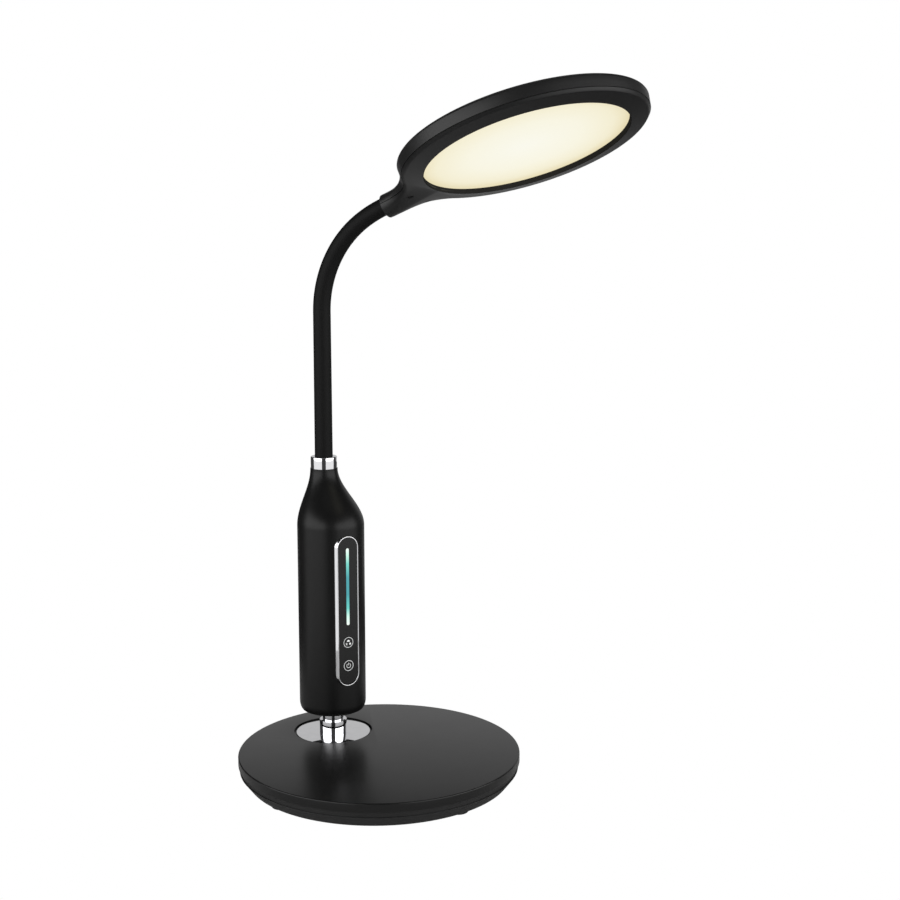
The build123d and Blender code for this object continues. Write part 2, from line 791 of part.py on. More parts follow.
head_profile = head_across_plane(0)
inner_radius = seam_radius - head_wall - 0.2
inner_top = head_side_height + head_edge_round - head_wall
optics_radius = lens_radius + optics_overlap
diffuser_top = lens_recess + diffuser_thickness
guide_top = diffuser_top + light_guide_thickness
reflector_top = guide_top + reflector_thickness
heat_plate_top = reflector_top + heat_plate_thickness
strip_radius = optics_radius + loose_fit * 4
rim_radius = strip_radius + led_strip_thickness
heat_plate_radius = rim_radius + heat_rim_thickness
mouth_back = arm_length
socket_start = mouth_back - socket_length

# The arm's sections: distance behind the head's middle, half width, underside and top.
arm_top = socket_height + socket_radius_top
arm_underside = socket_height - socket_radius_bottom
arm_sections = [
    (head_radius - 12.0, 35.0, bezel_face_rise, arm_top - 0.6, 3.5),
    (head_radius - 1.0, 21.5, bezel_face_rise - 1.2, arm_top - 0.3, 4.5),
    (head_radius + 8.0, 13.6, arm_underside + 1.6, arm_top, 6.0),
    (socket_start + 6.0, socket_half_width + 1.0, arm_underside + 0.2, arm_top, 7.2),
    (mouth_back, socket_half_width, arm_underside + 0.4, arm_top, 7.4),
]


def arm_section(back, half_width, underside, top, corner, wall=0.0):
    """Rounded section of the arm, inset by a wall."""
    with BuildSketch(head_across_plane(back), mode=Mode.PRIVATE) as section:
        with Locations((0, (underside + top) / 2)):
            RectangleRounded(
                2 * (half_width - wall), top - underside - 2 * wall, max(corner - wall, 0.8)
            )
    return section.sketch


def arm_solid(mode=Mode.ADD):
    """Outside of the arm, in the active part."""
    loft(sections=[arm_section(*row) for row in arm_sections], mode=mode)


def arm_bore(back, length, radius):
    """Round bore along the socket's axis, taken out of the active part."""
    with BuildSketch(head_across_plane(back), mode=Mode.PRIVATE) as section:
        with Locations((0, socket_height)):
            Circle(radius)
    extrude(section.sketch, amount=length, mode=Mode.SUBTRACT)


def arm_hollow():
    """Takes the inside of the arm and the socket's bores out of the active part."""
    loft(
        sections=[arm_section(*row, wall=head_wall + 0.2) for row in arm_sections[:3]],
        mode=Mode.SUBTRACT,
    )
    arm_bore(mouth_back + 1.0, 1.0 + neck_insert + loose_fit, sleeve_radius_top + loose_fit)
    arm_bore(mouth_back, neck_insert + core_past_sleeve + 0.5, core_radius + loose_fit)


def above_seam():
    """Everything above the seam of the head and its arm, as a region of the head's side view."""
    side_view = Plane(
        origin=head_middle - head_across * head_radius * 1.5,
        x_dir=arm_along * -1,
        z_dir=head_across,
    )
    with BuildPart() as region:
        with BuildSketch(side_view):
            with BuildLine():
                Polyline(
                    (-head_radius - 10, seam_height),
                    (head_radius - 8, seam_height),
                    (head_radius + 8, socket_height),
                    (mouth_back + 10, socket_height),
                    (mouth_back + 10, head_radius),
                    (-head_radius - 10, head_radius),
                    close=True,
                )
            make_face()
        extrude(amount=head_radius * 3)
    return region.part


upper_region = above_seam()
head_screw_spots = [(-head_screw_spread, head_screw_back), (head_screw_spread, head_screw_back)]
head_boss_radius = small_screw_radius + 1.3
head_screw_top = arm_top - head_wall - 1.0

with BuildPart() as head_cover:
    with BuildSketch(head_profile):
        with BuildLine():
            edge_inner = head_radius - head_edge_round
            dome_edge = head_side_height + head_edge_round
            corner = sqrt(0.5) * head_edge_round
            Polyline((0, seam_height), (seam_radius, seam_height), (head_radius, head_side_height))
            ThreePointArc(
                (head_radius, head_side_height),
                (edge_inner + corner, head_side_height + corner),
                (edge_inner, dome_edge),
            )
            Polyline(
                (edge_inner, dome_edge),
                (edge_inner * 0.7, dome_edge + head_dome * 0.7),
                (edge_inner * 0.35, dome_edge + head_dome),
                (0, dome_edge + head_dome),
            )
            Line((0, dome_edge + head_dome), (0, seam_height))
        make_face()
    revolve(axis=head_axis)
    arm_solid()
    with BuildSketch(head_level(0)):
        Circle(inner_radius)
    extrude(amount=inner_top, mode=Mode.SUBTRACT)
    arm_hollow()
    with BuildSketch(head_level(heat_plate_top)):
        with PolarLocations(head_radius * 0.55, 4, start_angle=45):
            Circle(3.0)
    extrude(amount=inner_top - heat_plate_top + 0.5)
    with BuildSketch(head_level(0)):
        with Locations(*head_screw_spots):
            Circle(head_boss_radius)
    extrude(amount=arm_top - head_wall)
    with BuildSketch(head_level(0)):
        with Locations(*head_screw_spots):
            Circle(small_screw_radius)
    extrude(amount=head_screw_top, mode=Mode.SUBTRACT)
    add(upper_region, mode=Mode.INTERSECT)
finish(head_cover, "head_cover")

lip_outside = inner_radius - loose_fit
lip_inside = lip_outside - lip_thickness
with BuildPart() as head_bezel:
    arm_solid()
    add(upper_region, mode=Mode.SUBTRACT)
    with BuildSketch(head_profile):
        with BuildLine():
            Polyline(
                (lens_radius, 0),
                (bezel_face_radius, bezel_face_rise),
                (seam_radius, seam_height),
                (lip_outside, seam_height),
                (lip_outside, seam_height + lip_height),
                (lip_inside, seam_height + lip_height),
                (lip_inside, lens_recess),
                (lens_radius, lens_recess),
                close=True,
            )
        make_face()
    revolve(axis=head_axis)
    with BuildSketch(head_level(lens_recess)):
        Circle(lip_inside)
    extrude(amount=inner_top, mode=Mode.SUBTRACT)
    arm_hollow()
    with BuildSketch(head_level(0)):
        with Locations(*head_screw_spots):
            Circle(head_boss_radius)
    extrude(amount=seam_height + 1.0)
    with BuildSketch(head_level(arm_underside)):
        with Locations(*head_screw_spots):
            Circle(small_screw_head_radius + loose_fit)
    extrude(amount=head_screw_sunk - arm_underside, mode=Mode.SUBTRACT)
    with BuildSketch(head_level(0)):
        with Locations(*head_screw_spots):
            Circle(small_screw_radius + loose_fit)
    extrude(amount=inner_top, mode=Mode.SUBTRACT)
finish(head_bezel, "head_bezel")

with BuildPart() as head_screws:
    with BuildSketch(head_level(head_screw_sunk)):
        with Locations(*head_screw_spots):
            Circle(small_screw_head_radius)
    extrude(amount=-small_screw_head_height)
    with BuildSketch(head_level(head_screw_sunk)):
        with Locations(*head_screw_spots):
            Circle(small_screw_radius)
    extrude(amount=head_screw_top - head_screw_sunk)
finish(head_screws, "head_screws")

with BuildPart() as diffuser:
    with BuildSketch(head_level(lens_recess)):
        Circle(optics_radius)
    extrude(amount=diffuser_thickness)
finish(diffuser, "diffuser")

with BuildPart() as light_guide:
    with BuildSketch(head_level(diffuser_top)):
        Circle(optics_radius)
    extrude(amount=light_guide_thickness)
finish(light_guide, "light_guide")

with BuildPart() as reflector_sheet:
    with BuildSketch(head_level(guide_top)):
        Circle(optics_radius)
    extrude(amount=reflector_thickness)
finish(reflector_sheet, "reflector_sheet")

with BuildPart() as led_strip:
    with BuildSketch(head_level(lens_recess)):
        Circle(rim_radius)
        Circle(strip_radius, mode=Mode.SUBTRACT)
    extrude(amount=reflector_top - lens_recess)
finish(led_strip, "led_strip")

with BuildPart() as heat_plate:
    with BuildSketch(head_level(reflector_top)):
        Circle(heat_plate_radius)
    extrude(amount=heat_plate_thickness)
    with BuildSketch(head_level(lens_recess)):
        Circle(heat_plate_radius)
        Circle(rim_radius, mode=Mode.SUBTRACT)
    extrude(amount=reflector_top - lens_recess)
finish(heat_plate, "heat_plate")

clamp_inside = core_radius + running_fit
core_end_back = mouth_back - neck_insert - core_past_sleeve
with BuildPart() as neck_end_clamp:
    with BuildSketch(head_across_plane(core_end_back + clamp_length)):
        with Locations((0, socket_height)):
            Circle(clamp_inside + clamp_thickness)
            Circle(clamp_inside, mode=Mode.SUBTRACT)
        with Locations((0, socket_height)):
            Rectangle(
                head_screw_spread * 2,
                head_radius,
                align=(Align.CENTER, Align.MAX),
                mode=Mode.SUBTRACT,
            )
    extrude(amount=clamp_length)
finish(neck_end_clamp, "neck_end_clamp")

with BuildPart() as head_lead:
    with BuildSketch(head_across_plane(core_end_back)):
        with Locations((0, socket_height)):
            Circle(lead_radius)
    extrude(amount=core_end_back - heat_plate_radius - loose_fit)
finish(head_lead, "head_lead")

# ---------------------------------------------------------------- joint places, for the record

print("stem", stem_axis_point)
for station in joint_stations:
    place = neck_section(station)
    print("neck joint", place.origin, "along", place.z_dir)
print("sideways axis", neck_left_right)
print("head middle", head_middle, "up", head_up, "across", head_across, "arm", arm_along)
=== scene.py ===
# %% [markdown]
# # A gooseneck desk lamp, dressed in cells
#
# The lamp already exists as a frame of plain solids: a weighted base, a chrome spigot, an
# upright body with a touch panel, a bendable neck and a flat round head. This lesson gives
# each visible piece its real surface, one short cell at a time. Everything is in metres.

# %% Load the frame
import json
from math import acos, atan2, cos, pi, radians, sin, tan

import bmesh
import bpy
from mathutils import Matrix, Vector

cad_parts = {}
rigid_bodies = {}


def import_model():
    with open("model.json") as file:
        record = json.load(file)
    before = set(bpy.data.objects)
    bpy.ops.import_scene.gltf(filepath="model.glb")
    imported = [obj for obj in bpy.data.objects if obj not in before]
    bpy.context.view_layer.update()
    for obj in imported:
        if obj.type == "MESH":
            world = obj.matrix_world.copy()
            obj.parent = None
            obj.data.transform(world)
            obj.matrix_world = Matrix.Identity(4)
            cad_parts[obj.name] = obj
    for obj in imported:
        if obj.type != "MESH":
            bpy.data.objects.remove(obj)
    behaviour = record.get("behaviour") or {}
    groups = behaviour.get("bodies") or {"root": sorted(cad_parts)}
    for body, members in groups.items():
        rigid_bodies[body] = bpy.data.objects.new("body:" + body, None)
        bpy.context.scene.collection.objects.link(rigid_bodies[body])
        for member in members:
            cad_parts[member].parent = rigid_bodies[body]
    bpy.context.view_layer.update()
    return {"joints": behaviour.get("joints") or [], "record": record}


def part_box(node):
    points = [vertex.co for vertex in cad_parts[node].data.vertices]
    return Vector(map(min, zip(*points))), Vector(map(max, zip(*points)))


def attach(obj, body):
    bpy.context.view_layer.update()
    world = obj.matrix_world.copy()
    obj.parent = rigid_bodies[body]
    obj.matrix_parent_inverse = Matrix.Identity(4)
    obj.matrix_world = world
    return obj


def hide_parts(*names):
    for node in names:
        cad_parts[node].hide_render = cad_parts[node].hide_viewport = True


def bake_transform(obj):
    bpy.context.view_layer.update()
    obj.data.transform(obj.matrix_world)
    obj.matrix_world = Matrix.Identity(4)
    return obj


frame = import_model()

mm = 0.001

# %% [markdown]
# ## Directions
#
# The body is swivelled a little from straight ahead and the neck bends in a plane of its
# own, so each has its own set of directions. A piece is drawn in the directions that suit
# it, flat and centred, and one matrix takes its points to their place on the lamp. The
# object itself then stays at the origin, unturned, which keeps every pattern in place.

# %% Directions of the body and of the neck
body_turn = radians(9.0)
neck_turn = radians(21.5)
up = Vector((0, 0, 1))
body_front = Vector((-sin(body_turn), -cos(body_turn), 0))
body_right = Vector((cos(body_turn), -sin(body_turn), 0))
neck_forward = Vector((sin(neck_turn), -cos(neck_turn), 0))
joints = {joint["name"]: joint for joint in frame["joints"]}
stem_spot = Vector(joints["body_swivel"]["pos_m"][:2])
neck_spot = Vector(joints["neck_lean_0"]["pos_m"][:2])


def axes_at(origin, right, ahead, out):
    """Matrix that takes a piece's own three directions to their place on the lamp."""
    return Matrix.Translation(origin) @ Matrix((right, ahead, out)).transposed().to_4x4()


print("stem axis", stem_spot[:], "neck axis", neck_spot[:])

# %% [markdown]
# ## Camera
#
# The lamp is seen from slightly above its own middle, a metre away, with a lens a little
# longer than normal, so the base shows as a flat ellipse and the head from below.

# %% Camera
camera_spot = Vector((-606.0, -764.1, 379.7)) * mm
camera_heading = radians(41.23)
camera_dip = radians(9.05)
camera_data = bpy.data.cameras.new("camera")
camera_data.sensor_width = 36.0
camera_data.lens = 60.07
camera = bpy.data.objects.new("camera", camera_data)
camera.location = camera_spot
camera.rotation_euler = (pi / 2 - camera_dip, 0, -camera_heading)
bpy.context.scene.collection.objects.link(camera)
bpy.context.scene.camera = camera
print("camera at", camera_spot[:])

# %% [markdown]
# ## Shader maths
#
# Node trees get hard to read when each sum is a node. Here a small class stands for one
# socket, so a finish can be written as an expression, such as `0.4 + 0.1 * smudges`. Its
# `node` method makes any other node: settings first, then the sockets' values or links.

# %% A socket that can be added and multiplied
class Wire:
    """A socket of a material's node tree."""

    def __init__(self, tree, socket=None):
        self.tree = tree
        self.socket = socket

    def node(self, kind, settings=None, sockets=None, output=0):
        node = self.tree.nodes.new(kind)
        for key, value in (settings or {}).items():
            if key == "stops":
                set_stops(node.color_ramp, value)
            else:
                setattr(node, key, value)
        for key, value in (sockets or {}).items():
            if isinstance(value, Wire):
                self.tree.links.new(value.socket, node.inputs[key])
            else:
                node.inputs[key].default_value = value
        return Wire(self.tree, node.outputs[output]) if node.outputs else None

    def maths(self, operation, first, second):
        return self.node("ShaderNodeMath", {"operation": operation}, {0: first, 1: second})

    def __add__(self, other):
        return self.maths("ADD", self, other)

    def __radd__(self, other):
        return self.maths("ADD", other, self)

    def __sub__(self, other):
        return self.maths("SUBTRACT", self, other)

    def __rsub__(self, other):
        return self.maths("SUBTRACT", other, self)

    def __mul__(self, other):
        return self.maths("MULTIPLY", self, other)

    def __rmul__(self, other):
        return self.maths("MULTIPLY", other, self)


print("Wire:", Wire.__doc__)

# %% [markdown]
# A colour ramp turns a number into a colour. Its stops are written as positions and colours,
# and `node` above hands them to a small function. Most colours of this lamp are greys.

# %% Ramps and colours
def set_stops(ramp, stops):
    """Gives a colour ramp its stops: {position: colour}."""
    while len(ramp.elements) < len(stops):
        ramp.elements.new(0.5)
    for element, (position, tone) in zip(ramp.elements, sorted(stops.items())):
        element.position = position
        element.color = tone


def colour(red, green, blue):
    return (red, green, blue, 1.0)


def grey(tone):
    return colour(tone, tone, tone)


print("a middle grey:", grey(0.5))

# %% [markdown]
# Every finish starts from the piece's own coordinates. Fine noise stands for the texture
# that a mould or a spray gun leaves, and slow noise for the slight unevenness that a real
# surface has in its gloss. Both are real sizes, given in metres.

# %% Noise in real sizes
finishes = {}


def start_finish(name):
    """Keeps an empty material under its name, and gives a wire to its node tree."""
    material = bpy.data.materials.new(name)
    material.use_nodes = True
    material.node_tree.nodes.clear()
    finishes[name] = material
    return Wire(material.node_tree)


def noise(wire, size, detail=2.0, stretch=(1, 1, 1)):
    """Noise between 0 and 1 with features of a size, longer along a stretched axis."""
    spot = wire.node("ShaderNodeTexCoord", output="Object")
    scale = [1 / (size * share) for share in stretch]
    scaled = wire.node("ShaderNodeMapping", sockets={"Vector": spot, "Scale": scale})
    return wire.node("ShaderNodeTexNoise", sockets={"Vector": scaled, "Scale": 1.0, "Detail": detail})


def bump(wire, height, depth):
    """Normal of a surface whose height field, between 0 and 1, is a depth in metres."""
    return wire.node("ShaderNodeBump", sockets={"Height": height, "Distance": depth, "Strength": 1.0})


def mix_colours(wire, share, first, second):
    """Colour between two others, by a wire or a number."""
    settings = {"data_type": "RGBA"}
    return wire.node("ShaderNodeMix", settings, {0: share, 6: first, 7: second}, output=2)


def end_finish(wire, **sockets):
    """Puts the values and wires on the surface's sockets, named with _ for a space."""
    named = {key.replace("_", " "): value for key, value in sockets.items()}
    surface = wire.node("ShaderNodeBsdfPrincipled", sockets=named)
    wire.node("ShaderNodeOutputMaterial", sockets={"Surface": surface})


print("a finish starts empty and ends with a surface:", finishes)

# %% [markdown]
# ## Black surfaces
#
# The lamp is black all over, but not the same black. The base and head are satin mouldings,
# the body is smooth satin paint, the bottom cover and small mouldings are more matt, and
# the neck is a soft sleeve. What differs is the gloss, the grain and how uneven they are.

# %% Moulded and painted blacks
mottle_size, mottle = 18 * mm, 0.2
grain_gloss = 0.04


def black_finish(name, tone, gloss, uneven, grain_size, grain_depth, shine):
    """A black surface: its tone, its roughness and how uneven that is, its grain and shine."""
    wire = start_finish(name)
    slow = noise(wire, mottle_size, 3.0)
    grain = noise(wire, grain_size, 1.0)
    end_finish(
        wire,
        Base_Color=mix_colours(wire, slow, grey(tone * (1 - mottle)), grey(tone * (1 + mottle))),
        Roughness=gloss + uneven * (slow - 0.5) + grain_gloss * (grain - 0.5),
        Specular_IOR_Level=shine,
        Normal=bump(wire, grain, grain_depth),
    )


# name, tone, roughness, its unevenness, size and depth of the grain, shine
black_finish("base_black", 0.003, 0.29, 0.04, 0.30 * mm, 0.0012 * mm, 0.40)
black_finish("shell_black", 0.010, 0.50, 0.06, 0.35 * mm, 0.004 * mm, 0.40)
black_finish("body_black", 0.005, 0.36, 0.03, 0.25 * mm, 0.0008 * mm, 0.25)
black_finish("head_black", 0.010, 0.42, 0.05, 0.35 * mm, 0.003 * mm, 0.38)
black_finish("recess_black", 0.020, 0.80, 0.05, 0.35 * mm, 0.003 * mm, 0.0)
# Painted shade: the sunk head screws are made black for the shadow in their deep holes.
black_finish("screw_black", 0.010, 0.60, 0.05, 0.20 * mm, 0.003 * mm, 0.30)
black_finish("panel_black", 0.012, 0.26, 0.02, 0.50 * mm, 0.0003 * mm, 0.28)
black_finish("chip_black", 0.020, 0.55, 0.05, 0.20 * mm, 0.004 * mm, 0.40)
black_finish("frame_plastic", 0.060, 0.50, 0.05, 0.40 * mm, 0.005 * mm, 0.40)
print("black finishes:", sorted(finishes))

# %% [markdown]
# Rubber is duller than any moulding, and it gathers a little dust, which shows as faint
# pale specks. The neck's sleeve is smoother than the feet.

# %% Rubber
skin_size, skin_depth, skin_gloss = 0.25 * mm, 0.006 * mm, 0.08
speck_size, speck_stops = 0.9 * mm, {"stops": {0.62: grey(0), 0.75: grey(1)}}
rubber_shine = 0.14


def rubber_finish(name, tone, roughness, dust):
    """A dull surface: its tone, its roughness, and how much paler its specks of dust are."""
    wire = start_finish(name)
    fine = noise(wire, skin_size, 3.0)
    specks = wire.node("ShaderNodeValToRGB", speck_stops, {"Fac": noise(wire, speck_size, 4.0)})
    end_finish(
        wire,
        Base_Color=mix_colours(wire, specks, grey(tone), grey(tone + dust)),
        Roughness=roughness + skin_gloss * (fine - 0.5),
        Specular_IOR_Level=rubber_shine,
        Normal=bump(wire, fine, skin_depth),
    )


rubber_finish("neck_rubber", 0.005, 0.60, 0.002)
rubber_finish("foot_rubber", 0.015, 0.80, 0.010)
print("rubber finishes made")

# %% [markdown]
# ## Metals
#
# Chrome is nearly a mirror, and only very slow, faint ripples tell it from a drawn one.
# Screws, tubes and the neck's links are plain or plated steel with fine turning marks, so
# their noise is stretched along one axis.

# %% Metals
smudge_size, smudge_tone = 6 * mm, 0.88


def metal_finish(name, tone, gloss, uneven, mark_size, mark_depth, stretch):
    """A bare metal: its colour, its roughness and how uneven that is, and its tool marks."""
    wire = start_finish(name)
    marks = noise(wire, mark_size, 2.0, stretch)
    smudges = noise(wire, smudge_size, 3.0)
    dull = colour(*(share * smudge_tone for share in tone))
    end_finish(
        wire,
        Base_Color=mix_colours(wire, smudges, dull, colour(*tone)),
        Metallic=1.0,
        Roughness=gloss + uneven * smudges + uneven * (marks - 0.5),
        Normal=bump(wire, marks, mark_depth),
    )


# name, colour, roughness, its unevenness, size and depth of the marks, their stretch
metal_finish("chrome", (0.90, 0.90, 0.92), 0.035, 0.015, 25 * mm, 0.001 * mm, (1, 1, 1))
metal_finish("screw_steel", (0.60, 0.60, 0.61), 0.28, 0.10, 0.15 * mm, 0.002 * mm, (1, 1, 12))
metal_finish("neck_steel", (0.36, 0.36, 0.37), 0.32, 0.10, 0.20 * mm, 0.003 * mm, (1, 1, 10))
metal_finish("spring_brass", (0.76, 0.60, 0.30), 0.26, 0.10, 0.15 * mm, 0.001 * mm, (1, 1, 8))
metal_finish("plate_aluminium", (0.76, 0.76, 0.77), 0.34, 0.08, 0.20 * mm, 0.002 * mm, (14, 1, 1))
print("metal finishes made")

# %% [markdown]
# Two pieces show only where the lamp is taken apart, and each has a texture of its own. The
# cast weight is lumpy and pitted, so noise and a cell pattern share its bump. The circuit
# board carries fine tracks under its varnish: a narrow band of stretched noise draws them.

# %% Cast weight and circuit board
lump_size, pit_size = 1.6 * mm, 2.5 * mm
pit_share, iron_depth = 0.4, 0.08 * mm
wire = start_finish("weight_iron")
lumps = noise(wire, lump_size, 5.0)
spot = wire.node("ShaderNodeTexCoord", output="Object")
pits = wire.node("ShaderNodeTexVoronoi", sockets={"Vector": spot, "Scale": 1 / pit_size})
end_finish(
    wire,
    Base_Color=mix_colours(wire, lumps, colour(0.09, 0.09, 0.095), colour(0.16, 0.16, 0.165)),
    Roughness=0.55 + 0.2 * lumps,
    Metallic=0.6,
    Normal=bump(wire, lumps + pit_share * pits, iron_depth),
)

track_gap, track_depth = 3.0 * mm, 0.02 * mm
wire = start_finish("board_green")
settings = {"stops": {0.47: grey(0), 0.50: grey(1), 0.53: grey(0)}}
tracks = wire.node("ShaderNodeValToRGB", settings, {"Fac": noise(wire, track_gap, 0.0, (1, 1, 4))})
end_finish(
    wire,
    Base_Color=mix_colours(wire, tracks, colour(0.01, 0.10, 0.04), colour(0.05, 0.24, 0.11)),
    Roughness=0.28 + 0.1 * tracks,
    Normal=bump(wire, tracks, track_depth),
)
print("textured finishes made")

# %% [markdown]
# The optics behind the lens are white films, LEDs and a clear acrylic guide. They are smooth,
# so one function with a faint unevenness does for all of them.

# %% Optical films and LEDs
film_mottle_size, film_dim, film_gloss = 12 * mm, 0.94, 0.05


def pale_finish(name, tone, roughness, clear=0.0):
    """White film, LED body or clear acrylic with faint unevenness."""
    wire = start_finish(name)
    slow = noise(wire, film_mottle_size, 2.0)
    dim = colour(*(share * film_dim for share in tone))
    end_finish(
        wire,
        Base_Color=mix_colours(wire, slow, dim, colour(*tone)),
        Roughness=roughness + film_gloss * (slow - 0.5),
        Transmission_Weight=clear,
    )


pale_finish("led_white", (0.90, 0.86, 0.62), 0.30)
pale_finish("guide_clear", (0.92, 0.95, 0.95), 0.06, clear=0.9)
pale_finish("sheet_white", (0.92, 0.92, 0.92), 0.45)
print("finishes:", len(finishes))

# %% [markdown]
# ## Lit surfaces
#
# The round lens is opal plastic lit from its edge, so it glows warm white, a little deeper
# in colour towards its rim. The colour follows the distance from the lens's own middle, and
# slow noise keeps the steps between the ramp's colours from showing as rings.

# %% Glow of the lens
lens_low, lens_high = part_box("diffuser")
lens_middle = (lens_low + lens_high) / 2
lens_glow_radius, lens_glow = 67 * mm, 0.875
cloud_size, cloud_share = 30 * mm, 0.10
wire = start_finish("diffuser_white")
spot = wire.node("ShaderNodeTexCoord", output="Object")
offset = wire.node("ShaderNodeVectorMath", {"operation": "SUBTRACT"}, {0: spot, 1: lens_middle})
away = wire.node("ShaderNodeVectorMath", {"operation": "LENGTH"}, {0: offset}, output="Value")
cloud = noise(wire, cloud_size, 2.0)
settings = {"stops": {
    0.0: colour(0.98, 0.97, 0.87), 0.55: colour(0.97, 0.94, 0.78),
    0.85: colour(0.94, 0.88, 0.66), 1.0: colour(0.88, 0.78, 0.50),
}}
spread = away * (1 / lens_glow_radius) + cloud_share * (cloud - 0.5)
glow = wire.node("ShaderNodeValToRGB", settings, {"Fac": spread})
end_finish(
    wire,
    Base_Color=mix_colours(wire, cloud, colour(0.10, 0.10, 0.08), colour(0.12, 0.12, 0.10)),
    Roughness=0.40,
    Emission_Color=glow,
    Emission_Strength=lens_glow,
)
print("lens middle", lens_middle[:])

# %% [markdown]
# The slider glows through a slot: nearly white at its two ends, with sea green and a dark
# teal between them. Its ramp runs up the height of the slider's own box.

# %% Glow of the slider
slider_low, slider_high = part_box("slider_light_guide")
slider_height = slider_high.z - slider_low.z
wire = start_finish("slider_glow")
spot = wire.node("ShaderNodeTexCoord", output="Object")
height = wire.node("ShaderNodeSeparateXYZ", sockets={"Vector": spot}, output="Z")
settings = {"stops": {
    0.0: colour(0.92, 1.0, 0.92), 0.10: colour(0.70, 1.0, 0.86), 0.22: colour(0.12, 0.62, 0.55),
    0.40: colour(0.04, 0.33, 0.37), 0.62: colour(0.04, 0.33, 0.37), 0.80: colour(0.16, 0.66, 0.56),
    0.92: colour(0.62, 0.95, 0.80), 1.0: colour(0.92, 1.0, 0.94),
}}
along = (height - slider_low.z) * (1 / slider_height)
light = wire.node("ShaderNodeValToRGB", settings, {"Fac": along})
end_finish(
    wire,
    Base_Color=mix_colours(wire, along, colour(0.02, 0.03, 0.03), colour(0.03, 0.04, 0.04)),
    Roughness=0.25,
    Emission_Color=light,
    Emission_Strength=1.0,
)
print("slider is", round(slider_height / mm, 1), "mm high")

# %% [markdown]
# The marks on the panel are printed and lit faintly from behind. Fine noise makes the ink
# a little uneven, as a screen print is.

# %% Ink of the touch marks
ink_size, ink_glow = 0.4 * mm, 0.42
wire = start_finish("touch_mark_print")
ink = noise(wire, ink_size, 2.0)
end_finish(
    wire,
    Base_Color=mix_colours(wire, ink, colour(0.55, 0.56, 0.56), colour(0.66, 0.67, 0.67)),
    Roughness=0.45,
    Emission_Color=mix_colours(wire, ink, colour(0.80, 0.84, 0.84), grey(1)),
    Emission_Strength=ink_glow,
)
print("finishes with the lit ones:", len(finishes))

# %% [markdown]
# ## Making meshes
#
# Nearly every piece here is a row of loops joined by faces: a turned piece has round loops,
# the panel's rim has long ones and the shoulder has loops that shrink and shift. So one
# function skins loops. Sharp corners of an outline become small arcs, because real edges
# are never knife sharp and it's the rounded edge that catches the light.

# %% Outlines and loops
round_steps = 128


def rounded(corners, steps=5):
    """Outline of (x, y, radius) corners, with an arc at each corner that has a radius."""
    outline = []
    for index, (x, y, radius) in enumerate(corners):
        corner = Vector((x, y))
        if not radius:
            outline.append(corner)
            continue
        back = (Vector(corners[index - 1][:2]) - corner).normalized()
        ahead = (Vector(corners[(index + 1) % len(corners)][:2]) - corner).normalized()
        half = acos(max(-1, min(1, back.dot(ahead)))) / 2
        middle = corner + (back + ahead).normalized() * (radius / sin(half))
        first = corner + back * (radius / tan(half)) - middle
        last = corner + ahead * (radius / tan(half)) - middle
        turn = atan2(first.x * last.y - first.y * last.x, first.dot(last))
        outline += [middle + Matrix.Rotation(turn * k / steps, 2) @ first for k in range(steps + 1)]
    return outline


def ring(radius, height, middle=(0, 0), steps=round_steps):
    """Round level loop."""
    turns = [2 * pi * k / steps for k in range(steps)]
    return [(middle[0] + radius * cos(a), middle[1] + radius * sin(a), height) for a in turns]


def stadium(length, width, depth, steps=20):
    """Loop with straight sides and half-round ends, standing along the second direction."""
    radius = width / 2
    loop = []
    for start, shift in ((0, length / 2 - radius), (pi, radius - length / 2)):
        turns = [start + pi * k / steps for k in range(steps + 1)]
        loop += [(radius * cos(a), shift + radius * sin(a), depth) for a in turns]
    return loop


print("a square corner in five steps:", len(rounded([(0, 0, 0), (1, 0, 0.2), (1, 1, 0)])), "points")

# %% [markdown]
# Points and faces are handed to Blender in one go. A turned shape repeats its points where
# it touches its axis, so doubled points are merged and the faces are turned outwards.

# %% Pieces from loops
def merge_points(piece, reach=0.001 * mm):
    """Merges the points within a reach of each other and turns the faces outwards."""
    shape = bmesh.new()
    shape.from_mesh(piece.data)
    bmesh.ops.remove_doubles(shape, verts=shape.verts, dist=reach)
    bmesh.ops.recalc_face_normals(shape, faces=shape.faces)
    shape.to_mesh(piece.data)
    shape.free()


def new_piece(name, points, faces, where=None):
    """Object from points and faces, moved to its place, with doubled points merged."""
    mesh = bpy.data.meshes.new(name)
    mesh.from_pydata([(where or Matrix()) @ Vector(point) for point in points], [], faces)
    piece = bpy.data.objects.new(name, mesh)
    bpy.context.scene.collection.objects.link(piece)
    merge_points(piece)
    return piece


def skin(name, loops, where=None, closed=False, capped=False):
    """Piece whose surface runs from loop to loop, and from last to first when closed."""
    count = len(loops[0])
    points = [point for loop in loops for point in loop]
    pairs = [(k, k + 1) for k in range(len(loops) - 1)] + ([(len(loops) - 1, 0)] if closed else [])
    faces = [
        (a * count + k, a * count + (k + 1) % count, b * count + (k + 1) % count, b * count + k)
        for a, b in pairs for k in range(count)
    ]
    if capped:
        faces.append(tuple(range(count))[::-1])
        faces.append(tuple(range((len(loops) - 1) * count, len(loops) * count)))
    return new_piece(name, points, faces, where)


def turned(name, outline, middle=(0, 0), closed=False):
    """Piece turned about an upright axis from an outline of (radius, height) points."""
    return skin(name, [ring(radius, height, middle) for radius, height in outline], closed=closed)


print("pieces can be skinned and turned, with", round_steps, "points a ring")

# %% [markdown]
# A hole is made by a cutter and a Boolean modifier. The modifier's result then becomes the
# plain mesh, and the cutter goes. Last, a piece is dressed: its finish, smooth shading with
# sharp edges kept, the body that it rides on and the plain solids that it replaces.

# %% Cutting and dressing
cutter_steps = 64
cut_past = 1 * mm


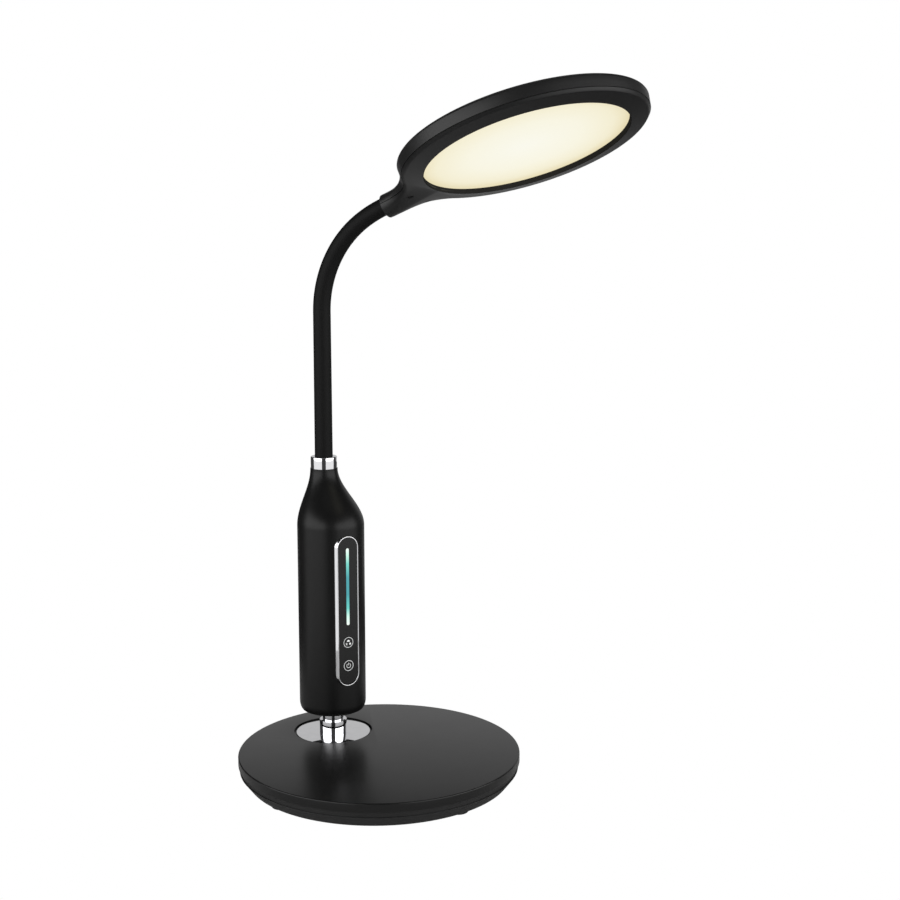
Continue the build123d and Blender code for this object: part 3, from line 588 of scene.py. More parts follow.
def bake(piece):
    """Makes the piece's modifiers part of its mesh."""
    bpy.context.view_layer.update()
    shown = piece.evaluated_get(bpy.context.evaluated_depsgraph_get())
    mesh = bpy.data.meshes.new_from_object(shown)
    piece.modifiers.clear()
    piece.data = mesh
    return piece


def cut(piece, *cutters):
    """Takes the cutters out of a closed piece."""
    for cutter in cutters:
        knife = piece.modifiers.new("cut", "BOOLEAN")
        knife.object, knife.solver = cutter, "EXACT"
    bake(piece)
    for cutter in cutters:
        bpy.data.objects.remove(cutter)
    return piece


def plug(radius, low, high, middle=(0, 0), where=None):
    """Round cutter between two heights."""
    rings = [ring(radius, height, middle, cutter_steps) for height in (low, high)]
    return skin("cutter", rings, where, capped=True)


def dress(piece, slot, body, *nodes, crease=35):
    """Gives a finished piece its finish, its smooth shading, its body and its CAD nodes."""
    piece.data.materials.clear()
    piece.data.materials.append(finishes[slot])
    piece.data.polygons.foreach_set("use_smooth", [True] * len(piece.data.polygons))
    piece.data.set_sharp_from_angle(angle=radians(crease))
    if nodes:
        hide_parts(*nodes)
    if body:
        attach(piece, body)
    print(f"{piece.name}: {len(piece.data.polygons)} faces")
    return piece


print("a cutter reaches", round(cut_past / mm, 1), "mm past the face that it opens")

# %% [markdown]
# ## Base
#
# The base is a shallow moulded cover over a cast iron disc. Its top is flat with a small
# rounded rim, and a round recess holds the chrome plate at the foot of the stem. A shadow
# groove parts the cover from the tapered bottom cover. Both are turned shapes, so each is
# one outline spun about the middle, and the off-centre recess is cut out afterwards.

# %% Base cover
_, base_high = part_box("base_cover")
base_radius = base_high.y
base_top = base_high.z
base_seam = 13.0 * mm
cover_wall = 2.2 * mm
rim_edge, seam_edge = 0.8 * mm, 0.3 * mm
cover = turned("base_cover_moulding", rounded([
    (0, base_top, 0),
    (base_radius, base_top, rim_edge),
    (base_radius, base_seam, seam_edge),
    (base_radius - cover_wall, base_seam, 0),
    (base_radius - cover_wall, base_top - cover_wall, 0),
    (0, base_top - cover_wall, 0),
]))
plate_low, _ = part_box("base_escutcheon")
recess_radius = 27.3 * mm
stem_hole, stem_hole_depth = 4.1 * mm, 4 * mm
cut(
    cover,
    plug(recess_radius, plate_low.z, base_top + cut_past, stem_spot),
    plug(stem_hole, base_top - stem_hole_depth, base_top, stem_spot),
)
dress(cover, "base_black", "base", "base_cover")

# %% [markdown]
# The bottom cover tapers to its foot, and a lip on it stands inside the top cover. The
# groove between the two is the step at the foot of that lip. Holes open at the back for the
# power inlet and underneath for the four screws.

# %% Bottom cover with the groove
shell_low, shell_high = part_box("base_bottom_cover")
groove_low = 9.4 * mm
groove_depth = 1.6 * mm
shell_radius = shell_high.y
taper_radius = 88.5 * mm
taper_edge, groove_edge = 0.9 * mm, 0.35 * mm
shell_floor, shell_inset = 2.0 * mm, 0.6 * mm
lip_fit, lip_wall = 0.1 * mm, 1.8 * mm
lip_radius = base_radius - cover_wall - lip_fit
bottom = turned("base_bottom_moulding", rounded([
    (0, shell_low.z, 0),
    (taper_radius, shell_low.z, taper_edge),
    (shell_radius, groove_low, groove_edge),
    (base_radius - groove_depth, groove_low, 0),
    (base_radius - groove_depth, base_seam, 0),
    (lip_radius, base_seam, 0),
    (lip_radius, shell_high.z, 0),
    (lip_radius - lip_wall, shell_high.z, 0),
    (lip_radius - lip_wall, groove_low, 0),
    (taper_radius - shell_inset, shell_low.z + shell_floor, 0),
    (0, shell_low.z + shell_floor, 0),
]))
inlet_height, inlet_hole = 8.2 * mm, 4.1 * mm
inlet_start, inlet_end = 80 * mm, 96 * mm
inlet_way = axes_at((0, 0, inlet_height), Vector((1, 0, 0)), up, Vector((0, 1, 0)))
screw_low, screw_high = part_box("base_screws")
screw_circle, screw_count = 62.0 * mm, 4
screw_access, screw_access_depth = 2.9 * mm, 1.8 * mm
screw_turns = [pi / 4 + pi / 2 * k for k in range(screw_count)]
screw_spots = [(screw_circle * cos(a), screw_circle * sin(a)) for a in screw_turns]
cut(
    bottom,
    plug(inlet_hole, inlet_start, inlet_end, where=inlet_way),
    *(plug(screw_access, 0, shell_low.z + screw_access_depth, spot) for spot in screw_spots),
)
dress(bottom, "shell_black", "base", "base_bottom_cover")

# %% [markdown]
# ## Feet and screws, repeated on a circle
#
# Four rubber feet and four screws sit on circles under the base, and three more screws hold
# the body's cap. Each is drawn once, and Geometry Nodes repeat it, so that the count and the
# circle are inputs of one tree. A tree starts with its named inputs, and its nodes are mostly
# a row in which each takes the result of the one before.

# %% Helpers for trees of Geometry Nodes
def new_tree(name, inputs):
    """Empty tree that takes geometry and (name, type) inputs, and gives geometry."""
    tree = bpy.data.node_groups.new(name, "GeometryNodeTree")
    for key, kind in (("Geometry", "Geometry"), *inputs):
        tree.interface.new_socket(name=key, in_out="INPUT", socket_type=f"NodeSocket{kind}")
    tree.interface.new_socket(name="Geometry", in_out="OUTPUT", socket_type="NodeSocketGeometry")
    return tree


def chain(tree, source, steps):
    """Adds nodes in a row: each step is (type, input taken, settings, other inputs)."""
    for kind, entry, settings, values in steps:
        node = tree.nodes.new(kind)
        for key, value in settings.items():
            setattr(node, key, value)
        for key, value in values.items():
            if isinstance(value, bpy.types.NodeSocket):
                tree.links.new(value, node.inputs[key])
            else:
                node.inputs[key].default_value = value
        if source is not None:
            tree.links.new(source, node.inputs[entry])
        source = node.outputs[0]
    return source


def run_tree(piece, tree, **inputs):
    """Runs a tree on a piece with inputs by name, and keeps the mesh that it makes."""
    modifier = piece.modifiers.new(tree.name, "NODES")
    modifier.node_group = tree
    names = {s.name: s.identifier for s in tree.interface.items_tree if s.in_out == "INPUT"}
    for key, value in inputs.items():
        modifier[names[key.replace("_", " ")]] = value
    piece.update_tag()
    return bake(piece)


print("sockets are made from names such as", "NodeSocketFloat")

# %% [markdown]
# This tree turns each point's index into a turn round the circle, moves the circle to its
# middle, and puts the piece on every point. Realize Instances makes the copies real.

# %% Tree that repeats a piece on a circle
repeat = new_tree("repeat_on_circle", [
    ("Count", "Int"), ("Circle", "Float"), ("First angle", "Vector"), ("Middle", "Vector"),
    ("Material", "Material"),
])
entry = repeat.nodes.new("NodeGroupInput").outputs
index = repeat.nodes.new("GeometryNodeInputIndex").outputs[0]
turn = chain(repeat, index, [
    ("ShaderNodeMath", 0, {"operation": "MULTIPLY"}, {1: 2 * pi}),
    ("ShaderNodeMath", 0, {"operation": "DIVIDE"}, {1: entry["Count"]}),
])
start = chain(repeat, None, [("ShaderNodeCombineXYZ", None, {}, {"X": entry["Circle"]})])
around = {"rotation_type": "Z_AXIS"}
spot = chain(repeat, turn, [("ShaderNodeVectorRotate", "Angle", around, {"Vector": start})])
turned_circle = {"Rotation": entry["First angle"], "Translation": entry["Middle"]}
result = chain(repeat, None, [
    ("GeometryNodePoints", None, {}, {"Count": entry["Count"], "Position": spot}),
    ("GeometryNodeTransform", "Geometry", {}, turned_circle),
    ("GeometryNodeInstanceOnPoints", "Points", {}, {"Instance": entry["Geometry"]}),
    ("GeometryNodeRealizeInstances", "Geometry", {}, {}),
    ("GeometryNodeSetMaterial", "Geometry", {}, {"Material": entry["Material"]}),
])
repeat.links.new(result, repeat.nodes.new("NodeGroupOutput").inputs[0])
print("tree", repeat.name, "with", len(repeat.nodes), "nodes")

# %% [markdown]
# A foot is a low rubber disc with a soft edge, stuck under the base.

# %% Feet
foot_circle, foot_count = 80.0 * mm, 4
foot_radius, foot_top, foot_edge = 7.0 * mm, 1.8 * mm, 0.5 * mm
feet = turned("base_rubber_feet", rounded([
    (0, 0, 0), (foot_radius, 0, foot_edge), (foot_radius, foot_top, 0), (0, foot_top, 0),
]))
run_tree(feet, repeat, Count=foot_count, Circle=foot_circle, Material=finishes["foot_rubber"])
dress(feet, "foot_rubber", "base", "base_feet")

# %% [markdown]
# A screw is turned like the rest, and two crossed blades cut its driver recess. It is drawn
# head down, as it stands in the base, and only its sizes differ from place to place. The
# small screws of the cap come back in the head.

# %% Screws
screw_edge, recess_depth = 0.4 * mm, 0.7 * mm
blade_reach, blade_width = 0.62, 0.11
small_screw = {"head_radius": 1.9 * mm, "head_height": 1.1 * mm, "shank_radius": 1.0 * mm}


def cross_screw(name, length, head_radius, head_height, shank_radius):
    """Screw seen from its head, which faces down, with a cross recess."""
    screw = turned(name, rounded([
        (0, 0, 0), (head_radius, 0, screw_edge), (head_radius, head_height, 0),
        (shank_radius, head_height, 0), (shank_radius, length, 0), (0, length, 0),
    ]))
    arm, slot_width = head_radius * blade_reach, head_radius * blade_width
    blades = []
    for wide, deep in ((arm, slot_width), (slot_width, arm)):
        corners = [(-wide, -deep), (wide, -deep), (wide, deep), (-wide, deep)]
        loops = [[(x, y, z) for x, y in corners] for z in (-recess_depth, recess_depth)]
        blades.append(skin("cutter", loops, capped=True))
    return cut(screw, *blades)


screws = cross_screw("base_cross_screws", screw_high.z - screw_low.z,
                     head_radius=2.8 * mm, head_height=1.7 * mm, shank_radius=1.5 * mm)
run_tree(screws, repeat, Count=screw_count, Circle=screw_circle, First_angle=(0, 0, pi / 4),
         Middle=(0, 0, screw_low.z), Material=finishes["screw_steel"])
dress(screws, "screw_steel", "base", "base_screws")

cap_screw_circle, cap_screw_count = 14.5 * mm, 3
cap_screw_low, cap_screw_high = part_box("body_screws")
cap_screws = cross_screw("body_cap_screws", cap_screw_high.z - cap_screw_low.z, **small_screw)
run_tree(cap_screws, repeat, Count=cap_screw_count, Circle=cap_screw_circle,
         Middle=(*stem_spot, cap_screw_low.z), Material=finishes["screw_steel"])
dress(cap_screws, "screw_steel", "lamp_body", "body_screws")

# %% [markdown]
# ## Stem
#
# The body stands on a chrome spigot: a thin polished plate in the base's recess and two
# stepped sleeves round a steel tube. Their edges are eased, because plating never covers a
# sharp one. The body turns on the upper sleeve's tube.

# %% Chrome plate, stem sleeves and neck collar
tube_radius, collar_bore = 4.05 * mm, 6.3 * mm
plated_edge = 0.1 * mm


def bushing(name, node, body, middle, bore, low_edge, high_edge):
    """Chrome sleeve as high and as wide as its plain solid, with its own edges eased."""
    low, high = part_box(node)
    radius = (high.x - low.x) / 2
    sleeve = turned(name, rounded([
        (bore, low.z, 0), (radius, low.z, low_edge), (radius, high.z, high_edge), (bore, high.z, 0),
    ]), middle, closed=True)
    return dress(sleeve, "chrome", body, node)


for name, node, high_edge in (
    ("stem_plate_polished", "base_escutcheon", 0.2 * mm),
    ("stem_sleeve_wide", "stem_lower_sleeve", 0.25 * mm),
    ("stem_sleeve_narrow", "stem_upper_sleeve", 0.2 * mm),
):
    bushing(name, node, "base", stem_spot, tube_radius, plated_edge, high_edge)
bushing("neck_collar_polished", "neck_collar", "lamp_body", neck_spot, collar_bore,
        low_edge=0.15 * mm, high_edge=0.6 * mm)

# %% [markdown]
# ## Body
#
# The body is a tube whose shoulder follows one rule: half a cosine wave takes the radius
# from the body's to the collar's, and the same wave moves its middle to the neck, which
# stands behind the stem. The wall is real, and a long slot takes the touch panel.

# %% Shoulder of the body
body_low, body_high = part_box("body_shell")
body_radius = 23.05 * mm
shoulder_bottom = 166.15 * mm
shoulder_top_radius = 9.4 * mm
shoulder_steps = 40
shift = neck_spot - stem_spot


def shoulder_ring(share, wall=0.0):
    """Loop of the shoulder at a share of its height, inset by a wall."""
    ease = (1 - cos(pi * share)) / 2
    radius = body_radius + (shoulder_top_radius - body_radius) * ease - wall
    height = shoulder_bottom + (body_high.z - shoulder_bottom) * share
    return ring(radius, height, stem_spot + shift * ease)


print("shoulder is", round((body_high.z - shoulder_bottom) / mm, 1), "mm high")

# %% [markdown]
# The foot of the body is rounded as a quarter of an ellipse, taller than it is wide. The
# loops run up the outside, over the collar's seat, down the inside and out round the cap's
# opening, so that the shell is one closed skin.

# %% Body shell
body_wall = 1.6 * mm
foot_reach, foot_rise = 3.05 * mm, 6.5 * mm
inner_step = 3.0 * mm
cap_opening = body_radius - foot_reach
core_opening = 4.3 * mm
inner_shoulder = 0.92
foot_steps = 10
foot_turns = [pi / 2 * k / foot_steps for k in range(foot_steps + 1)]
outer_foot = [
    (body_radius - foot_reach * (1 - sin(a)), body_low.z + foot_rise * (1 - cos(a)))
    for a in foot_turns
]
outer_foot.append((body_radius, shoulder_bottom))
inner_foot = [
    (body_radius - body_wall, body_low.z + inner_step),
    (cap_opening, body_low.z + inner_step),
]
shares = [k / shoulder_steps for k in range(1, shoulder_steps + 1)]
inner_shares = [share * inner_shoulder for share in [0, *shares]][::-1]
roof = shoulder_bottom + (body_high.z - shoulder_bottom) * inner_shares[0]
loops = [ring(radius, height, stem_spot) for radius, height in outer_foot]
loops += [shoulder_ring(share) for share in shares]
loops += [ring(core_opening, height, neck_spot) for height in (body_high.z, roof)]
loops += [shoulder_ring(share, body_wall) for share in inner_shares]
loops += [ring(radius, height, stem_spot) for radius, height in inner_foot]
shell = skin("body_painted_shell", loops, closed=True)
print("shell of", len(loops), "loops")

# %% [markdown]
# The panel stands on the body's front, in a slot with half-round ends. Its places are
# measured from the body's axis, outwards.

# %% Slot for the touch panel
panel_length, panel_width = 104.7 * mm, 16.0 * mm
panel_middle = 110.0 * mm
panel_front = 24.2 * mm
panel_face = 23.8 * mm
panel_back = 21.6 * mm
ledge_back = 20.0 * mm
slot_fit = 0.1 * mm
panel_way = axes_at((*stem_spot, panel_middle), body_right, up, body_front)


def long_plug(length, width, low, high):
    """Cutter with half-round ends, standing on the panel's plane."""
    loops = [stadium(length, width, depth) for depth in (low, high)]
    return skin("cutter", loops, panel_way, capped=True)


cut(shell, long_plug(panel_length + 2 * slot_fit, panel_width + 2 * slot_fit, 0, panel_front))
dress(shell, "body_black", "lamp_body", "body_shell")

# %% [markdown]
# ## Touch panel
#
# A bright rim holds a black glass-like panel a little below its own front. Both are the
# same long outline at different insets, so the rim is skinned from loops: out, over its
# rounded front, in, and back round the ledge that carries the panel. Its outer side flares
# a little towards the body, which is why a bright band shows beside the panel.

# %% Bright rim
rim_width, rim_round = 0.7 * mm, 0.30 * mm
ledge_width = 2.6 * mm
flare, flare_foot = 0.75 * mm, 21.3 * mm


def framed(name, corners, closed):
    """Piece that follows the panel's outline, from (inset, depth, edge radius) corners."""
    loops = [
        stadium(panel_length - 2 * inset, panel_width - 2 * inset, depth)
        for inset, depth in rounded(corners)
    ]
    return skin(name, loops, panel_way, closed=closed, capped=not closed)


rim = framed("panel_rim_bright", [
    (0, ledge_back, 0),
    (0, flare_foot, 0),
    (-flare, flare_foot, 0),
    (0, panel_front, rim_round),
    (rim_width, panel_front, rim_round),
    (rim_width, panel_back, 0),
    (ledge_width, panel_back, 0),
    (ledge_width, ledge_back, 0),
], closed=True)
dress(rim, "chrome", "lamp_body", "panel_bezel")

# %% [markdown]
# The panel drops into the rim, and a slot in it lets the slider's light through.

# %% Black panel
slider_length, slider_width = 53.5 * mm, 2.1 * mm
slider_middle = 69.65 * mm
panel_edge, panel_border = 0.15 * mm, 1 * mm
panel_inset = rim_width + slot_fit
panel = framed("panel_black_glass", [
    (panel_inset, panel_back, 0),
    (panel_inset, panel_face, panel_edge),
    (panel_inset + panel_border, panel_face, 0),
], closed=False)
slot_way = panel_way @ Matrix.Translation((0, slider_middle - panel_length / 2, 0))
slot = skin("cutter", [
    stadium(slider_length + 2 * slot_fit, slider_width + 2 * slot_fit, depth)
    for depth in (panel_back - cut_past, panel_front)
], slot_way, capped=True)
cut(panel, slot)
dress(panel, "panel_black", "lamp_body", "touch_panel")

# %% [markdown]
# ## Touch marks
#
# Two marks are printed on the panel under the slider: one for the light's colour, and one
# for the power. A print has hardly any thickness, so each line is a strip that stands only
# a few hundredths of a millimetre proud.

# %% Lines and spots of print
print_low, print_high = panel_face - 0.01 * mm, panel_face + 0.03 * mm
line_width = 0.32 * mm
spot_fill, spot_steps = 0.999, 24


def arc_line(radius, start, end, width=line_width, middle=(0, 0), steps=48):
    """Corners of a curved line's two edges."""
    turns = [radians(start + (end - start) * k / steps) for k in range(steps + 1)]
    edges = [
        [(middle[0] + r * cos(a), middle[1] + r * sin(a)) for a in turns]
        for r in (radius + width / 2, radius - width / 2)
    ]
    return edges[0], edges[1]


def straight_line(start, end, width=line_width):
    """Corners of a straight line's two edges."""
    start, end = Vector(start), Vector(end)
    side = (end - start).orthogonal().normalized() * width / 2
    return [start + side, end + side], [start - side, end - side]


def blob(middle, radius, start=0, end=360):
    """Filled round spot, or a part of one."""
    return arc_line(radius / 2, start, end, radius * spot_fill, middle, spot_steps)


print("lines are printed", round(line_width / mm, 2), "mm wide")

# %% [markdown]
# A line comes as its two edges. The strip between them gets a top, a bottom, two sides and
# two ends, and all strips of a mark are one piece.

# %% Printed marks
mark_radius = 3.5 * mm
colour_mark_height, power_mark_height = 30.7 * mm, 14.3 * mm


def printed(name, lines, height):
    """Thin strips on the panel, in one piece, at a height above the panel's lower end."""
    points, faces = [], []
    for one, other in lines:
        first, count = len(points), len(one)
        for depth in (print_low, print_high):
            points += [(x, y, depth) for x, y in one] + [(x, y, depth) for x, y in other]
        for k in range(count - 1):
            a, b = first + k, first + count + k
            top = 2 * count
            faces += [(a, a + 1, b + 1, b), (a + top, b + top, b + 1 + top, a + 1 + top)]
            faces += [(a, a + top, a + 1 + top, a + 1), (b, b + 1, b + 1 + top, b + top)]
        for a, b in ((first, first + count), (first + count - 1, first + 2 * count - 1)):
            faces.append((a, b, b + 2 * count, a + 2 * count))
    where = panel_way @ Matrix.Translation((0, height - panel_length / 2, 0))
    piece = new_piece(name, points, faces, where)
    return dress(piece, "touch_mark_print", "lamp_body")


printed("mark_light_colour", [
    arc_line(mark_radius, 0, 360),
    blob((0, 0.8 * mm), 1.0 * mm, 0, 180),
    straight_line((-1.2 * mm, 0.65 * mm), (1.2 * mm, 0.65 * mm), 0.28 * mm),
    straight_line((-1.9 * mm, -0.45 * mm), (-0.9 * mm, -1.65 * mm), 0.40 * mm),
    straight_line((-0.9 * mm, -0.45 * mm), (-1.9 * mm, -1.65 * mm), 0.40 * mm),
    blob((1.3 * mm, -1.05 * mm), 0.75 * mm),
], colour_mark_height)
printed("mark_power", [
    arc_line(mark_radius, 0, 360),
    arc_line(1.5 * mm, 125, 415),
    straight_line((0, 2.05 * mm), (0, 0.25 * mm)),
], power_mark_height)

# %% [markdown]
# ## Neck
#
# The neck's sleeve is a soft tube that runs from the collar into the head. Its middle line
# is straight, then bends twice, more gently the second time. Geometry Nodes draw the tube
# along that line with a slight taper. It is made in nine spans, from the middle of one link
# to the middle of the next, each with a joint inside it.

# %% Tree that draws a span of sleeve along a line
sleeve_steps = 64
sleeve_tree = new_tree("bent_sleeve", [
    ("From", "Float"), ("To", "Float"), ("Start radius", "Float"), ("End radius", "Float"),
    ("Material", "Material"),
])
entry = sleeve_tree.nodes.new("NodeGroupInput").outputs
place = sleeve_tree.nodes.new("GeometryNodeSplineParameter").outputs["Factor"]
taper = chain(sleeve_tree, place, [
    ("ShaderNodeMapRange", 0, {}, {3: entry["Start radius"], 4: entry["End radius"]}),
])
profile = chain(sleeve_tree, None, [
    ("GeometryNodeCurvePrimitiveCircle", None, {}, {"Resolution": sleeve_steps, "Radius": 1.0}),
])
thickness = sleeve_tree.nodes.new("GeometryNodeInputRadius").outputs[0]
trim = sleeve_tree.nodes.new("GeometryNodeTrimCurve")
trim.mode = "LENGTH"
line = chain(sleeve_tree, entry["Geometry"], [
    ("GeometryNodeMeshToCurve", 0, {}, {}),
    ("GeometryNodeSetCurveRadius", 0, {}, {"Radius": taper}),
])
sleeve_tree.links.new(line, trim.inputs["Curve"])
ends = {socket.identifier: socket for socket in trim.inputs}
sleeve_tree.links.new(entry["From"], ends["Start_001"])
sleeve_tree.links.new(entry["To"], ends["End_001"])
tube = {"Profile Curve": profile, "Scale": thickness, "Fill Caps": True}
result = chain(sleeve_tree, trim.outputs[0], [
    ("GeometryNodeCurveToMesh", "Curve", {}, tube),
    ("GeometryNodeRealizeInstances", "Geometry", {}, {}),
    ("GeometryNodeSetMaterial", "Geometry", {}, {"Material": entry["Material"]}),
])
sleeve_tree.links.new(result, sleeve_tree.nodes.new("NodeGroupOutput").inputs[0])
print("tree", sleeve_tree.name, "with", len(sleeve_tree.nodes), "nodes")

# %% [markdown]
# The middle line is one straight length, two bends and the arm of the head. Each stretch
# has a length and a turn. A point is found by walking along the stretches: a bend of a
# known turn has a known chord, so no sum of small steps is needed.

# %% Middle line of the neck
collar_low, collar_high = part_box("neck_collar")
neck_straight = 99.2 * mm
neck_bends = [(74.0 * mm, radians(57.0)), (96.0 * mm, radians(11.7))]
neck_length = neck_straight + sum(radius * turn for radius, turn in neck_bends)
arm_length = 106.3 * mm


def neck_point(station):
    """Point of the neck's middle line at a distance from the collar's top."""
    bends = [(radius * turn, turn) for radius, turn in neck_bends]
    rise, forward, height, left = pi / 2, 0.0, collar_high.z, station
    for length, turn in [(neck_straight, 0), *bends, (arm_length, 0)]:
        run = min(left, length)
        turned_by = turn * run / length
        chord = run if not turned_by else 2 * run / turned_by * sin(turned_by / 2)
        forward += chord * cos(rise - turned_by / 2)
        height += chord * sin(rise - turned_by / 2)
        rise -= turned_by
        left -= run
        if left <= 0:
            break
    return Vector((*neck_spot, height)) + neck_forward * forward


print("neck is", round(neck_length / mm, 1), "mm long, and ends at", neck_point(neck_length)[:])

# %% [markdown]
# Each span is cut from the same long line, so neighbours meet exactly, and is left on no
# body. The last span also covers the end that stands in the head's socket.

# %% Sleeve spans
neck_in_collar = collar_high.z - collar_low.z
neck_in_head = 12.0 * mm
first_joint, last_joint_gap, joint_count = 12.0 * mm, 10.8 * mm, 9
link_length = (neck_length - last_joint_gap - first_joint) / (joint_count - 1)
sleeve_start_radius, sleeve_end_radius = 6.2 * mm, 5.8 * mm
line_steps = 220
line_length = neck_in_collar + neck_length + neck_in_head
stations = [line_length * k / line_steps - neck_in_collar for k in range(line_steps + 1)]
blend_reach = 9.0 * mm
line_points = [neck_point(station) for station in stations]
line_edges = [(a, a + 1) for a in range(line_steps)]
for k in range(joint_count):
    span = bpy.data.objects.new(f"neck_sleeve_span_{k}", bpy.data.meshes.new("line"))
    span.data.from_pydata(line_points, line_edges, [])
    bpy.context.scene.collection.objects.link(span)
    joint = first_joint + link_length * k
    start = -neck_in_collar if k == 0 else joint - link_length / 2
    end = neck_length + neck_in_head if k == joint_count - 1 else joint + link_length / 2
    run_tree(span, sleeve_tree, From=start + neck_in_collar, To=end + neck_in_collar,
             Start_radius=sleeve_start_radius, End_radius=sleeve_end_radius,
             Material=finishes["neck_rubber"])
    merge_points(span)
    nodes = [f"neck_sleeve_{k}"] + ([f"neck_sleeve_{k + 1}"] if k == joint_count - 1 else [])
    dress(span, "neck_rubber", None, *nodes)
    neck_point(joint - blend_reach)
    neck_point(joint + blend_reach)
    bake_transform(span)

# %% [markdown]
# ## Head
#
# The head is tilted and rolled a little, so it has directions of its own: up through its
# cover, across, and back towards the neck. It is drawn flat about the middle of the dish.

# %% Directions of the head
head_middle = Vector((56.432, -81.017, 416.499)) * mm
head_up = Vector((0.000934, 0.386794, 0.922166))
head_across = Vector((0.939894, 0.314549, -0.132886))
head_back = head_up.cross(head_across)
head_way = axes_at(head_middle, head_across, head_back, head_up)
print("head at", head_middle[:], "facing", (-head_up)[:])

# %% [markdown]
# The head is a flat round dish that flows into the socket through two hollow curves. Its
# outline, seen from below, is a circle with a fillet on each side of the socket. Across
# that outline run columns, and along each column a profile: the dish's profile round the
# circle, the socket's round section at its mouth, and a mix of both on the fillet. Half of
# the columns are drawn and mirrored. The same columns make the cover and the bezel.

# %% Columns across the head's outline
seam_radius = 80.3 * mm
lens_radius = 66.9 * mm
fillet_middle, fillet_radius = Vector((47.1, 109.5)) * mm, 38.9 * mm
fillet_start, fillet_end = radians(4.72), radians(66.7)
tangent_across, tangent_back = 31.7, 73.8
tangent_turn = atan2(tangent_across, tangent_back)
fillet_columns, circle_columns = 20, 72


def smooth(share):
    """Share between 0 and 1 that starts and ends gently."""
    return share * share * (3 - 2 * share)


def head_columns():
    """Columns as (outline point, outward direction, inner end, share of the socket)."""
    columns = []
    for k in range(fillet_columns):
        share = k / fillet_columns
        turn = fillet_start + (fillet_end - fillet_start) * share
        out = Vector((cos(turn), sin(turn)))
        inner = Vector((0, arm_length + (lens_radius - arm_length) * share))
        columns.append((fillet_middle - fillet_radius * out, out, inner, 1 - smooth(share)))
    for k in range(circle_columns + 1):
        turn = tangent_turn + (pi - tangent_turn) * k / circle_columns
        out = Vector((sin(turn), cos(turn)))
        before = max(0, 1 - (turn - tangent_turn) / (pi / 2 - tangent_turn))
        lens_turn = turn - tangent_turn * before ** 2
        inner = Vector((sin(lens_turn), cos(lens_turn))) * lens_radius
        columns.append((seam_radius * out, out, inner, 0.0))
    return columns


columns = head_columns()
print("columns:", len(columns), "from the socket's mouth at", columns[0][0][:])

# %% [markdown]
# A seam parts the bezel from the cover all round the head, and climbs a little towards the
# socket. On the socket each column turns through a quarter of a round section, and further
# out the dish's own profile takes over.

# %% Seam and socket
seam_height = 3.95 * mm
mouth_seam_height = 5.7 * mm
mouth_bottom, mouth_top = -2.7 * mm, 13.2 * mm


def flat(point, height):
    """Point of the head's own directions, from a point of its outline and a height."""
    return Vector((point.x, point.y, height))


def socket_row(column, turn, rim, far):
    """Point of the socket's round section: its turn from the seam, and the far height."""
    outline, _, inner, _ = column
    spot = inner + (outline - inner) * cos(turn)
    return flat(spot, rim + (far - rim) * sin(turn))


def column_seam(column):
    """Height of the seam on a column."""
    return seam_height + (mouth_seam_height - seam_height) * column[3]


def blended(column, path, rim, far):
    """Rows of a profile, mixed with the socket's section by the column's share of it."""
    rows = []
    for index, (spot, height) in enumerate(path):
        turn = pi / 2 * index / (len(path) - 1)
        rows.append(flat(spot, height).lerp(socket_row(column, turn, rim, far), column[3]))
    return rows


print("seam climbs from", round(seam_height / mm, 2), "to", round(mouth_seam_height / mm, 2), "mm")

# %% [markdown]
# The bezel's profile starts a hair inside the seam, which leaves a dark slit. It turns over
# a rounded chamfer and runs in to the lens.

# %% Rows of the bezel
seam_step, seam_slit = 0.25 * mm, 0.30 * mm
chamfer_width, face_rise = 1.75 * mm, 1.7 * mm
chamfer_rounds = [(0.0, 1.0), (0.45, 0.52), (0.78, 0.20), (0.95, 0.055), (1.25, 0.0)]
bezel_fill = 14


def bezel_column(column):
    """Points of the bezel from the seam to the lens or to the arm's middle line."""
    outline, out, inner, share = column
    rim = column_seam(column) - seam_slit
    edge = outline - seam_step * out
    path = []
    for width, drop in chamfer_rounds:
        spot = edge - out * chamfer_width * width
        path.append((spot, face_rise + (rim - face_rise) * drop))
    last = path[-1][0]
    for k in range(1, bezel_fill + 1):
        part = k / bezel_fill
        path.append((last + (inner - last) * part, face_rise * (1 - part)))
    return blended((edge, out, inner, share), path, rim, mouth_bottom)


print("rows of the bezel:", len(bezel_column(columns[0])))

# %% [markdown]
# The cover's profile climbs the outer wall, which leans out a little, and rolls over a soft
# edge on to a very low dome. Its points are pairs of millimetres: out from the seam, and up.

# %% Rows of the cover
cover_wall_rows = [
    (0.0, 3.95), (0.35, 7.1), (0.7, 10.2), (0.68, 10.7), (0.52, 11.12), (0.30, 11.55), (0, 11.9),
    (-0.36, 12.2), (-0.78, 12.42), (-1.22, 12.55), (-1.7, 12.6),
]
dome_foot = cover_wall_rows[-1][1] * mm
dome_radius, dome_rise = 78.6 * mm, 1.2 * mm
cover_fill = 12


def cover_column(column):
    """Points of the cover from the seam to the circle above the lens's edge."""
    outline, out, inner, _ = column
    rim = column_seam(column)
    lift = rim - seam_height
    path = []
    for offset, height in cover_wall_rows:
        rise = lift * (1 - (height * mm - seam_height) / (mouth_top - seam_height))
        path.append((outline + out * offset * mm, height * mm + max(rise, 0)))
    last = path[-1][0]
    for k in range(1, cover_fill + 1):
        spot = last + (inner - last) * k / cover_fill
        dome = max(0, 1 - (spot.length / dome_radius) ** 2) * dome_rise
        path.append((spot, dome_foot + dome))
    return blended(column, path, rim, mouth_top)


print("rows of the cover:", len(cover_column(columns[0])))

